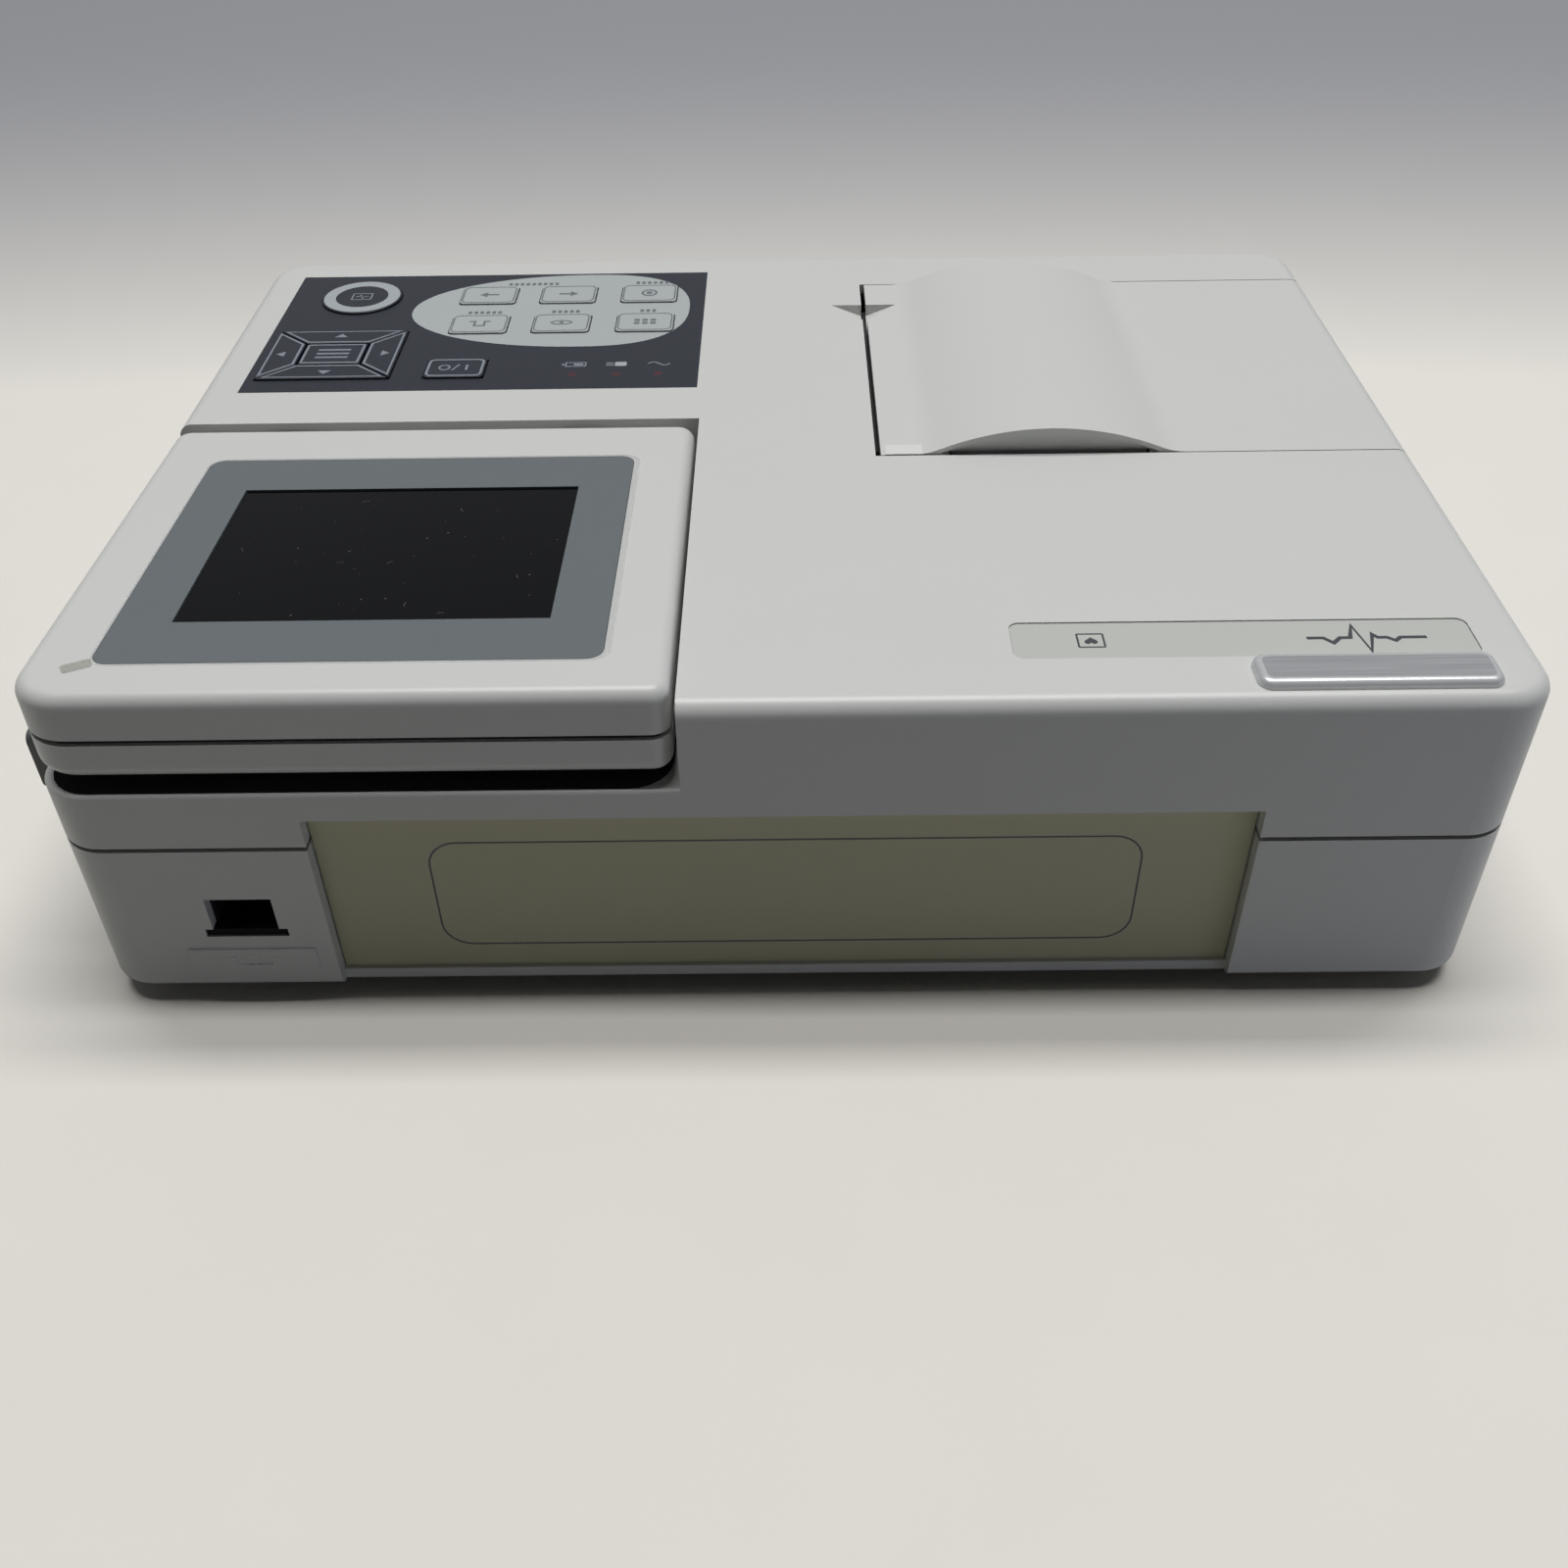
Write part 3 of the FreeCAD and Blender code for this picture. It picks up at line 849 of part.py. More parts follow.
frame.box((TRAY_X[1] - 1, PX + 18), PAPER_Y, (PZ - 23.5, PZ - 21.5))
frame.box((PX + 13.5, PX + 16), PAPER_Y, (PZ - 23.5, PZ + 6.5))
frame.box((PX - 20, PX + 36), PLATE_Y, (TRAY_Z - 2, EAR_Z))
frame.box((PX - 20, PX - 17), (WALL_R[0], PLATE_Y[1]), (TRAY_Z - 2, EAR_Z))
for px, py in FRAME_SPOTS:
    if py.value > bay_y[1].value:
        reach_y = (WALL_R[0], py + 4)
    elif px.value > PX.value:
        reach_y = (py - 4, PAPER_Y[0] + 2)
    else:
        reach_y = (py - 4, WALL_F[1])
    frame.box((px - 4, px + 4), reach_y, (EAR_Z - 2, EAR_Z))
    frame.bore("z", (px, py), 1.6, (EAR_Z - 3, EAR_Z + 1))
frame_screws = Piece("frame_screws", loose=True)
for px, py in FRAME_SPOTS:
    frame_screws.rod("z", (px, py), D["screw_radius"], (EAR_Z - 3, EAR_Z + 8))
    frame_screws.rod("z", (px, py), 2.8, (EAR_Z - 4, EAR_Z - 2))

# paper roll on its spindle
roll = Piece("paper_roll")
roll.rod("y", ROLL, D["roll_radius"], PAPER_Y)
roll.bore("y", ROLL, 6.4, (PAPER_Y[0] - 1, PAPER_Y[1] + 1))
spindle = Piece("paper_spindle")
spindle.rod("y", ROLL, 6.4, (PAPER_Y[0], PAPER_Y[1]))
spindle.rod("y", ROLL, journal, (WALL_F[0], WALL_R[1]))

# platen roller, shaft and the gear train to the motor
roller = Piece("platen_roller")
roller.rod("y", (PX, PZ), D["platen_radius"], PAPER_Y)
roller.bore("y", (PX, PZ), D["shaft_radius"], (PAPER_Y[0] - 1, PAPER_Y[1] + 1))
shaft = Piece("platen_shaft")
shaft.rod("y", (PX, PZ), D["shaft_radius"], (ARMS[0][0], GEAR_Y[1]))

MODULE = D["gear_module"].value
PLATEN_TEETH, IDLER_TEETH, PINION_TEETH = 20, 36, 12
SPREAD = 0.12
IDLER_TURN, PINION_TURN = math.radians(-86), math.radians(-15)


def pitch(teeth):
    return D["gear_module"] * teeth / 2


reach = pitch(PLATEN_TEETH) + pitch(IDLER_TEETH) + SPREAD
IDLER = (PX + reach * math.cos(IDLER_TURN), PZ + reach * math.sin(IDLER_TURN))
reach = pitch(IDLER_TEETH) + pitch(PINION_TEETH) + SPREAD
PINION = (IDLER[0] + reach * math.cos(PINION_TURN), IDLER[1] + reach * math.sin(PINION_TURN))


def gear_points(teeth, phase):
    """Involute gear outline, with one tooth centred on the angle phase."""
    pitch_r = MODULE * teeth / 2
    base, tip, root = pitch_r * math.cos(math.radians(20)), pitch_r + MODULE, pitch_r - 1.25 * MODULE
    half_tooth = math.pi / (2 * teeth) - 0.06 / pitch_r
    involute = lambda r: math.tan(math.acos(min(1, base / r))) - math.acos(min(1, base / r))
    points = []
    start = max(base, root)
    for tooth in range(teeth):
        middle = phase + 2 * math.pi * tooth / teeth
        flank = []
        if root < base:
            flank.append((root, half_tooth + involute(pitch_r)))
        for step in range(6):
            r = start + (tip - start) * step / 5
            flank.append((r, half_tooth + involute(pitch_r) - involute(r)))
        points += [(r, middle - a) for r, a in flank] + [(r, middle + a) for r, a in reversed(flank)]
    return [(r * math.cos(a), r * math.sin(a)) for r, a in points]


def gear(label, centre, teeth, phase, hub_radius):
    """A toothed wheel cut from its outline, with a plain bore; the outline needs no sketch."""
    corners = [FreeCAD.Vector(x, 0, z) for x, z in gear_points(teeth, phase)]
    outline = Part.makePolygon(corners + corners[:1])
    blank = Part.Face(outline).extrude(FreeCAD.Vector(0, D["gear_width"].value, 0))
    if hub_radius:
        blank = blank.cut(Part.makeCylinder(hub_radius, 50, FreeCAD.Vector(0, -20, 0),
                                            FreeCAD.Vector(0, 1, 0)))
    wheel = doc.addObject("Part::Feature", label)
    wheel.Label = label
    wheel.Shape = blank
    place(wheel, centre[0] + SHIFT, GEAR_Y[0], centre[1])
    ALL.append(wheel)
    return wheel


# each mesh puts a tooth of one wheel in a space of the next, on the line of centres
platen_phase = IDLER_TURN
idler_phase = IDLER_TURN + math.pi + math.pi / IDLER_TEETH
steps = (PINION_TURN - idler_phase) / (2 * math.pi / IDLER_TEETH)
pinion_phase = PINION_TURN + math.pi + (0.5 + steps - round(steps)) * 2 * math.pi / PINION_TEETH
gear("platen_gear", (PX, PZ), PLATEN_TEETH, platen_phase, D["shaft_radius"].value)
gear("idler_gear", IDLER, IDLER_TEETH, idler_phase, 1.55)
gear("motor_pinion", PINION, PINION_TEETH, pinion_phase, 1.0)
frame.bore("y", IDLER, 1.5, (PLATE_Y[0] - 1, PLATE_Y[1] + 1))
frame.bore("y", PINION, 3, (PLATE_Y[0] - 1, PLATE_Y[1] + 1))
idler_pin = Piece("idler_pin")
idler_pin.rod("y", IDLER, 1.5, (GEAR_Y[0] - 1, PLATE_Y[1]))
idler_pin.rod("y", IDLER, 2.4, (GEAR_Y[0] - 1, GEAR_Y[0] - 0.2))
motor = Piece("drive_motor")
motor.rod("y", PINION, 12.5, (PLATE_Y[1], PLATE_Y[1] + 18))
motor.bore("y", PINION, 1.05, (PLATE_Y[1] - 1, PLATE_Y[1] + 12))
motor_shaft = Piece("motor_shaft")
motor_shaft.rod("y", PINION, 1, (GEAR_Y[0], PLATE_Y[1] + 10))

# print head with its heat sink
HEAD_X = PX + D["platen_radius"] + 0.2
head = Piece("print_head")
head.box((HEAD_X, HEAD_X + 1), PAPER_Y, (PZ - 9.5, PZ + 7.5))
sink = Piece("head_sink")
sink.box((HEAD_X + 1, HEAD_X + 3), PAPER_Y, (PZ - 11.5, PZ + 7.5))
for fin in (PZ - 11.5, PZ - 5.5, PZ + 0.5):
    sink.box((HEAD_X + 2, PX + 13.5), (PAPER_Y[0] + 4, PAPER_Y[1] - 4), (fin, fin + 1.5))

doc.recompute()
faults = []
for thing in doc.Objects:
    if any(word in thing.State for word in ("Invalid", "Error")):
        faults.append(f"{thing.Name}: {thing.State}")
os.makedirs("parts", exist_ok=True)
for body in ALL:
    if body.Shape.isNull() or not body.Shape.isValid():
        faults.append(f"{body.Label}: shape not valid")
    else:
        body.Shape.exportStep(f"parts/{body.Label}.step")
if faults:
    raise RuntimeError("; ".join(faults))
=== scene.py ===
import json
import math
import random

import bpy
from bpy.props import FloatProperty, FloatVectorProperty, IntProperty, PointerProperty
from mathutils import Matrix, Vector


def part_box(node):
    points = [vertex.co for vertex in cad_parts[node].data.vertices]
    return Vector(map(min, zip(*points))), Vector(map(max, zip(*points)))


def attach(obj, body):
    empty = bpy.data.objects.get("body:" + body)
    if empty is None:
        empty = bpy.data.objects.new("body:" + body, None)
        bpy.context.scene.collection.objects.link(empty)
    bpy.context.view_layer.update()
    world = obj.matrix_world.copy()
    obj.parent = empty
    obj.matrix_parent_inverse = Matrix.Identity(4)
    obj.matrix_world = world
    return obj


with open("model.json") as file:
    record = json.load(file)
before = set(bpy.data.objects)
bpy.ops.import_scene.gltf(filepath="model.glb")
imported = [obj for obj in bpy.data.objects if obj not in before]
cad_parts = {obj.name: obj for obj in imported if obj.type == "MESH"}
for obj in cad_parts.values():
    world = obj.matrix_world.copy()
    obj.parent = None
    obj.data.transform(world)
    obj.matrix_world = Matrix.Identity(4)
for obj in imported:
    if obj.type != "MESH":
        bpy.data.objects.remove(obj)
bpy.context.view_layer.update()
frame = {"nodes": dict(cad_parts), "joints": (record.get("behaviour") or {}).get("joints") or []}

bl_info = {
    "name": "Desktop ecg machine",
    "version": (1, 0, 0),
    "blender": (4, 5, 0),
    "location": "View3D > Sidebar > Ecg machine",
    "description": "Finishes, printed marks and stage for a desktop electrocardiograph",
    "category": "Object",
}

NODES = frame["nodes"]
MM = 0.001

# Heights and places read from the frame, in millimetres from the middle of the case.
CASE_X = sum(corner[0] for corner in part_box("lower_case")) / 2 / MM
SHEET_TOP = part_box("keypad_overlay")[1][2] / MM
KEY_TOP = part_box("key_menu")[1][2] / MM
LABEL_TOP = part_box("top_label")[1][2] / MM
PLATE_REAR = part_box("rear_plate")[1][1] / MM
BADGE_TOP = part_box("top_badge")[1][2] / MM
# The hinge brackets are let into the ledge under the screen.
BRACKET_SINK = 1.5
LEDGE_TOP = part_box("hinge_brackets")[0][2] / MM + BRACKET_SINK
# The screen's marks are drawn as if it were closed, then turned with it to its rest tilt.
TILT = next(joint for joint in frame["joints"] if joint["name"] == "screen_tilt")
HINGE = Vector(TILT["pos_m"])
FACE_OVER_HINGE = 6
SCREEN_TOP = HINGE.z / MM + FACE_OVER_HINGE
ON_SCREEN = (Matrix.Translation(HINGE) @ Matrix.Rotation(math.radians(-TILT["range_deg"][0]), 4, "X")
             @ Matrix.Translation(-HINGE))
# Middle heights of the two seams, the corners of what they run round, and the width of the dark strip of
# painted shade that lies in each.
SEAM_BELOW_FACE = 10.4
SCREEN_SEAM = SCREEN_TOP - SEAM_BELOW_FACE
CASE_SEAM = 43
CASE_CORNER = 10
SCREEN_CORNERS = (10, 4)
STRIP_WIDTH = 0.4
# Thickness of the print on the label, the badge and the rear plate.
LABEL_PRINT = 0.03
PLATE_PRINT = 0.04
# Usual refractive index of ABS, PBT and polycarbonate.
PLASTIC_IOR = 1.53


def linear(code):
    """Linear RGBA of an sRGB hex colour."""
    def channel(part):
        value = int(part, 16) / 255
        return value / 12.92 if value <= 0.04045 else ((value + 0.055) / 1.055) ** 2.4
    return tuple(channel(code[i:i + 2]) for i in (0, 2, 4)) + (1.0,)


def hue(label, code, words):
    """A colour property that starts from an sRGB hex value."""
    return FloatVectorProperty(name=label, description=words, subtype="COLOR", size=4, min=0, max=1,
                               default=linear(code))


class EcgFinishes(bpy.types.PropertyGroup):
    """Colours of the machine's finishes."""

    case_white: hue("Case white", "D2D3D0", "Moulded white of the case, door and screen housing")
    plate_cream: hue("Rear plate cream", "B9B798", "Smooth plate in the rear recess")
    sheet_blue: hue("Keypad sheet", "212630", "Dark blue grey of the keypad sheet and its keys")
    field_grey: hue("Key field", "B1B7B7", "Pale field printed under the function keys")
    line_grey: hue("Key lines", "858B95", "Thin printed outlines of the dark keys")
    ring_grey: hue("Round key ring", "A6ADB0", "Broad ring printed on the round key")
    mark_grey: hue("Function marks", "6A7274", "Marks printed on the pale keys")
    bezel_grey: hue("Bezel grey", "687073", "Grey green sheet round the display")
    display_black: hue("Display", "060709", "Display when it is off")
    hood_grey: hue("Socket hood", "4A4D4C", "Dark grey hood of the patient socket")
    label_grey: hue("Label strip", "BFC1BB", "Thin label on the top")
    floor_paper: hue("Floor", "ECE9E1", "Paper the machine stands on")
    # Painted shade: the paper is painted greyer away from the machine, where the lamps' light falls off.
    floor_painted_shade: hue("Far floor", "999A9F", "Paper at a distance")
    room_grey: hue("Room", "E6E7EC", "Pale walls of the room")
    window_blue: hue("Window light", "D2DAFF", "Cool light from a window behind the camera")
    floor_bounce: hue("Floor bounce", "8B8B8A", "Paper as it lights the machine from below")
    ink: hue("Ink", "3C4247", "Dark ink of the label and the rear outline")


class EcgSizes(bpy.types.PropertyGroup):
    """Sizes of the printed marks and the stage."""

    line_width: FloatProperty(name="Key line", description="Width of the printed key outlines",
                              default=0.62 * MM, unit="LENGTH")
    print_height: FloatProperty(name="Print height", description="Thickness of a printed layer",
                                default=0.04 * MM, unit="LENGTH")
    film_margin: FloatProperty(name="Film margin", default=1.5 * MM, unit="LENGTH",
                               description="How far the clear film reaches past the bezel")
    display_depth: FloatProperty(name="Display depth", default=0.4 * MM, unit="LENGTH",
                                 description="Depth of the display below the bezel's face")
    speck_count: IntProperty(name="Specks", description="Dust specks lying on the display", default=46, min=0)
    lamp_power: FloatProperty(name="Lamp power", default=33, unit="POWER",
                              description="Power of each of the two ceiling lamps")
    room_light: FloatProperty(name="Room light", default=0.34, min=0,
                              description="Brightness of the room on the far side")
    window_power: FloatProperty(name="Window power", default=0.125, unit="POWER",
                                description="Power of the cool light on the rear wall")
    camera_lens: FloatProperty(name="Camera lens", description="Focal length on a 36 mm sensor",
                               default=36.05, min=10, max=200)


def finish():
    return bpy.context.scene.ecg_finishes


def sizes():
    return bpy.context.scene.ecg_sizes


# Materials


def add(tree, kind, inputs=None, **settings):
    """Add one node with its settings; inputs holds values, or sockets to link from."""
    made = tree.nodes.new(kind)
    for key, value in settings.items():
        setattr(made, key, value)
    for key, value in (inputs or {}).items():
        if isinstance(value, bpy.types.NodeSocket):
            tree.links.new(value, made.inputs[key])
        else:
            made.inputs[key].default_value = value
    return made


def begin(name):
    """A new material with an empty tree, its shader and its object coordinates."""
    if name in bpy.data.materials:
        return bpy.data.materials[name], None, None, None
    material = bpy.data.materials.new(name)
    material.use_nodes = True
    tree = material.node_tree
    tree.nodes.clear()
    shader = add(tree, "ShaderNodeBsdfPrincipled")
    add(tree, "ShaderNodeOutputMaterial", {"Surface": shader.outputs["BSDF"]})
    place = add(tree, "ShaderNodeTexCoord").outputs["Object"]
    return material, tree, shader, place


def per_metre(size_mm):
    """Noise scale that gives features of about this size."""
    return 1 / (size_mm * MM)


def tinted(colour, gain):
    return tuple(min(1, c * gain) for c in colour[:3]) + (1.0,)


def moulded(name, colour, grain_mm, rough, bump=0.25, drift=0.04, gloss=0.5):
    """Plastic from a textured mould: even colour, fine eroded grain, broad soft highlights."""
    material, tree, shader, place = begin(name)
    if tree is None:
        return material
    cloud_mm, rough_spread, grain_depth = 45, 0.06, 0.02 * MM
    cloud = add(tree, "ShaderNodeTexNoise", {"Vector": place, "Scale": per_metre(cloud_mm), "Detail": 3.0})
    tone = add(tree, "ShaderNodeMix", {0: cloud.outputs["Fac"], 6: tinted(colour, 1 - drift),
                                       7: tinted(colour, 1 + drift)}, data_type="RGBA")
    grain = add(tree, "ShaderNodeTexNoise", {"Vector": place, "Scale": per_metre(grain_mm), "Detail": 2.0})
    matt = add(tree, "ShaderNodeMapRange", {"Value": grain.outputs["Fac"], "To Min": rough - rough_spread,
                                            "To Max": rough + rough_spread})
    relief = add(tree, "ShaderNodeBump", {"Height": grain.outputs["Fac"], "Strength": bump,
                                          "Distance": grain_depth})
    tree.links.new(tone.outputs[2], shader.inputs["Base Color"])
    tree.links.new(matt.outputs["Result"], shader.inputs["Roughness"])
    tree.links.new(relief.outputs["Normal"], shader.inputs["Normal"])
    shader.inputs["IOR"].default_value = PLASTIC_IOR
    shader.inputs["Specular IOR Level"].default_value = gloss
    return material


def metal(name, colour, rough, streak_axis=None, streak_mm=0.3):
    """Bare or plated metal: full reflection, with fine lines where it was drawn or brushed."""
    material, tree, shader, place = begin(name)
    if tree is None:
        return material
    streak_length_mm = 30
    stretch = [per_metre(streak_mm)] * 3
    if streak_axis is not None:
        stretch[streak_axis] = per_metre(streak_length_mm)
    scaled = add(tree, "ShaderNodeMapping", {"Vector": place, "Scale": stretch})
    lines = add(tree, "ShaderNodeTexNoise", {"Vector": scaled.outputs["Vector"], "Scale": 1.0, "Detail": 2.0})
    matt = add(tree, "ShaderNodeMapRange", {"Value": lines.outputs["Fac"], "To Min": rough * 0.8,
                                            "To Max": rough * 1.25})
    tone = add(tree, "ShaderNodeMix", {0: lines.outputs["Fac"], 6: tinted(colour, 0.92),
                                       7: tinted(colour, 1.06)}, data_type="RGBA")
    tree.links.new(tone.outputs[2], shader.inputs["Base Color"])
    tree.links.new(matt.outputs["Result"], shader.inputs["Roughness"])
    shader.inputs["Metallic"].default_value = 1.0
    return material


def case_abs():
    # White ABS from a finely eroded mould: a soft even white with a faint sparkle of grain.
    return moulded("moulded_white_abs", finish().case_white, 0.5, 0.37, 0.35, 0.012)


def sheet_film(name, colour, rough=0.36):
    # Polycarbonate keypad film printed on its back: even colour under a satin skin with slight ripple.
    return moulded(name, colour, 1.6, rough, 0.10, 0.02)


def display_glass():
    # Unlit display behind an anti-glare polariser: near black, soft reflections, slight smears.
    material, tree, shader, place = begin("display_polariser_glass")
    if tree is None:
        return material
    smear = add(tree, "ShaderNodeTexNoise", {"Vector": place, "Scale": per_metre(22), "Detail": 5.0,
                                             "Distortion": 1.2})
    matt = add(tree, "ShaderNodeMapRange", {"Value": smear.outputs["Fac"], "To Min": 0.11, "To Max": 0.17})
    tree.links.new(matt.outputs["Result"], shader.inputs["Roughness"])
    shader.inputs["Base Color"].default_value = finish().display_black
    shader.inputs["IOR"].default_value = 1.33
    shader.inputs["Specular IOR Level"].default_value = 0.3
    return material


def clear_film(name, code, share):
    # Clear polyethylene film: almost unseen, with a faint gloss; a pale line where it ends is a painted
    # highlight on its cut edge.
    material, tree, shader, place = begin(name)
    if tree is None:
        return material
    ripple = add(tree, "ShaderNodeTexNoise", {"Vector": place, "Scale": per_metre(14), "Detail": 2.0})
    relief = add(tree, "ShaderNodeBump", {"Height": ripple.outputs["Fac"], "Strength": 0.12,
                                          "Distance": 0.1 * MM})
    tree.links.new(relief.outputs["Normal"], shader.inputs["Normal"])
    shader.inputs["Base Color"].default_value = linear(code)
    shader.inputs["Roughness"].default_value = 0.14
    shader.inputs["Alpha"].default_value = share
    return material


def chart_paper():
    # Coated thermal paper on a roll: matt off-white with a faint cloud of fibres.
    material, tree, shader, place = begin("thermal_chart_paper")
    if tree is None:
        return material
    fibre = add(tree, "ShaderNodeTexNoise", {"Vector": place, "Scale": per_metre(0.8), "Detail": 4.0})
    tone = add(tree, "ShaderNodeMix", {0: fibre.outputs["Fac"], 6: linear("DAD8D2"), 7: linear("EFEDE8")},
               data_type="RGBA")
    tree.links.new(tone.outputs[2], shader.inputs["Base Color"])
    shader.inputs["Roughness"].default_value = 0.7
    return material


def board_green():
    # Glass epoxy board under green solder mask: satin, with paler tracks.
    material, tree, shader, place = begin("solder_mask_board")
    if tree is None:
        return material
    tracks = add(tree, "ShaderNodeTexBrick", {"Vector": place, "Scale": per_metre(18),
                                              "Color1": linear("0F5A33"), "Color2": linear("0C4C2B"),
                                              "Mortar": linear("1C7A48")})
    tree.links.new(tracks.outputs["Color"], shader.inputs["Base Color"])
    shader.inputs["Roughness"].default_value = 0.4
    return material


def ink(name, colour, rough=0.5):
    # Screen printing ink: a thin opaque layer, a little mottled at its edge.
    return moulded(name, colour, 0.9, rough, 0.05, 0.03)


def rubber(name, code):
    # Moulded black rubber: dull, with a dusty bloom.
    return moulded(name, linear(code), 0.7, 0.78, 0.4, 0.10)


def black_rubber():
    return rubber("moulded_black_rubber", "17181A")


# Shape helpers


def at(x, y, z):
    """Row frame position of a point given in millimetres from the case's middle."""
    return Vector(((x + CASE_X) * MM, y * MM, z * MM))


def plan(name):
    """Spans in X and Y of a CAD node."""
    low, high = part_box(name)
    return (low.x / MM - CASE_X, high.x / MM - CASE_X), (low.y / MM, high.y / MM)


def middle(name):
    x, y = plan(name)
    return (x[0] + x[1]) / 2, (y[0] + y[1]) / 2


def moved(outlines, x, y):
    return [[(a + x, b + y) for a, b in outline] for outline in outlines]


def inset(points, by):
    """A convex outline with every side moved inwards."""
    centre = sum((Vector(p) for p in points), Vector((0, 0))) / len(points)
    lines = []
    for i, point in enumerate(points):
        start, end = Vector(point), Vector(points[(i + 1) % len(points)])
        normal = Vector((start.y - end.y, end.x - start.x)).normalized()
        if normal.dot(centre - start) < 0:
            normal.negate()
        lines.append((normal, normal.dot(start) + by))
    corners = []
    for i, (n, d) in enumerate(lines):
        m, e = lines[i - 1]
        cross = m.x * n.y - m.y * n.x
        corners.append(((e * n.y - d * m.y) / cross, (d * m.x - e * n.x) / cross))
    return corners


def rounded(x, y, radius, steps=6):
    """Outline of a rectangle with rounded corners."""
    points = []
    for cx, cy, start in ((x[1] - radius, y[1] - radius, 0), (x[0] + radius, y[1] - radius, 90),
                          (x[0] + radius, y[0] + radius, 180), (x[1] - radius, y[0] + radius, 270)):
        for i in range(steps + 1):
            turn = math.radians(start + 90 * i / steps)
            points.append((cx + radius * math.cos(turn), cy + radius * math.sin(turn)))
    return points


def within(name, margin_x, margin_y, radius, steps=6):
    """Rounded outline inside the plan of a CAD node."""
    x, y = plan(name)
    return rounded((x[0] + margin_x, x[1] - margin_x), (y[0] + margin_y, y[1] - margin_y), radius, steps)


def circle(centre, radius, steps=40):
    return [(centre[0] + radius * math.cos(2 * math.pi * i / steps),
             centre[1] + radius * math.sin(2 * math.pi * i / steps)) for i in range(steps)]


def stroke(points, width, closed=False):
    """Outlines of a line of even width through the points."""
    left, right = [], []
    count = len(points)
    for i, point in enumerate(points):
        here = Vector(point)
        before = Vector(points[i - 1]) if i or closed else None
        after = Vector(points[(i + 1) % count]) if i < count - 1 or closed else None
        a = (here - before).normalized() if before is not None else (after - here).normalized()
        b = (after - here).normalized() if after is not None else a
        along = (a + b).normalized() if (a + b).length > 1e-6 else a
        side = Vector((-along.y, along.x)) * (width / 2) / max(0.5, along.dot(a))
        left.append(tuple(here + side))
        right.append(tuple(here - side))
    return [left, right] if closed else [left + right[::-1]]


def layer(name, outlines, low, high, material, body, matrix=None, upright=False):
    """A thin flat solid filling the outlines; an outline inside another is a hole."""
    curve = bpy.data.curves.new(name, "CURVE")
    curve.dimensions = "2D"
    curve.fill_mode = "BOTH"
    curve.extrude = (high - low) / 2 * MM
    for outline in outlines:
        spline = curve.splines.new("POLY")
        spline.points.add(len(outline) - 1)
        for spot, (x, y) in zip(spline.points, outline):
            spot.co = (x * MM, y * MM, 0, 1)
        spline.use_cyclic_u = True
    shape = bpy.data.objects.new(name, curve)
    bpy.context.collection.objects.link(shape)
    bpy.context.view_layer.update()
    mesh = bpy.data.meshes.new_from_object(shape.evaluated_get(bpy.context.evaluated_depsgraph_get()))
    bpy.data.objects.remove(shape)
    bpy.data.curves.remove(curve)
    if upright:
        # Drawn in X and Z, and facing the rear.
        stand = Matrix(((1, 0, 0, CASE_X * MM), (0, 0, 1, (low + high) / 2 * MM), (0, 1, 0, 0), (0, 0, 0, 1)))
        mesh.transform(stand)
        mesh.flip_normals()
    else:
        mesh.transform(Matrix.Translation((CASE_X * MM, 0, (low + high) / 2 * MM)))
    if matrix is not None:
        mesh.transform(matrix)
    return put(name, mesh, material, body)


def put(name, mesh, material, body):
    """Place a finished mesh in the scene, riding on a body."""
    mesh.materials.clear()
    mesh.materials.append(material)
    piece = bpy.data.objects.new(name, mesh)
    bpy.context.collection.objects.link(piece)
    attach(piece, body)
    return piece


def dress(material, *names):
    """Give CAD nodes a material."""
    for name in names:
        mesh = NODES[name].data
        mesh.materials.clear()
        mesh.materials.append(material)


class Task:
    """What every operator of this panel shares."""

    bl_options = {"REGISTER"}


class ECG_OT_case(Task, bpy.types.Operator):
    """Finish the case, its plate, feet and screws"""

    bl_idname = "ecg.case"
    bl_label = "Case"

    def execute(self, context):
        dress(case_abs(), "lower_case", "upper_case", "battery_cover", "screen_front", "screen_back",
              "recorder_door")
        # Door tab: smooth ABS from a polished mould, a shade whiter than the case.
        dress(moulded("smooth_white_abs", linear("DFE0DC"), 1.2, 0.35, 0.08, 0.01), "door_tab")
        # Rear plate: smooth cream ABS, polished mould, faint ripple.
        dress(moulded("smooth_cream_abs", finish().plate_cream, 2.0, 0.4, 0.06, 0.02), "rear_plate")
        dress(black_rubber(), "rubber_feet")
        self.seam_shade()
        # Zinc plated screws: a dull bright grey.
        dress(metal("zinc_plated_steel", linear("A9ABAA"), 0.32), "case_screws", "screen_screws",
              "frame_screws", "jack_screws")
        return {"FINISHED"}

    def seam_shade(self):
        """Painted shade in the seam between the two halves of the case: a dark strip, open at the rear
        recess.
        """
        x, y = plan("lower_case")
        depth, half_height, arc, past_recess = 1.1, 0.45, 8, 1
        rear = -y[0] - depth
        corners = rounded((x[0] + depth, x[1] - depth), (y[0] + depth, rear), CASE_CORNER - depth, arc)
        recess = plan("rear_plate")[0]
        path = [(recess[0] - past_recess, rear)] + corners[arc + 1:] + corners[:arc + 1]
        path.append((recess[1] + past_recess, rear))
        # The black rubber strip is painted shade, standing in for the shade in the seam's groove.
        layer("case_seam_shade", stroke(path, STRIP_WIDTH), CASE_SEAM - half_height, CASE_SEAM + half_height,
              black_rubber(), "base")


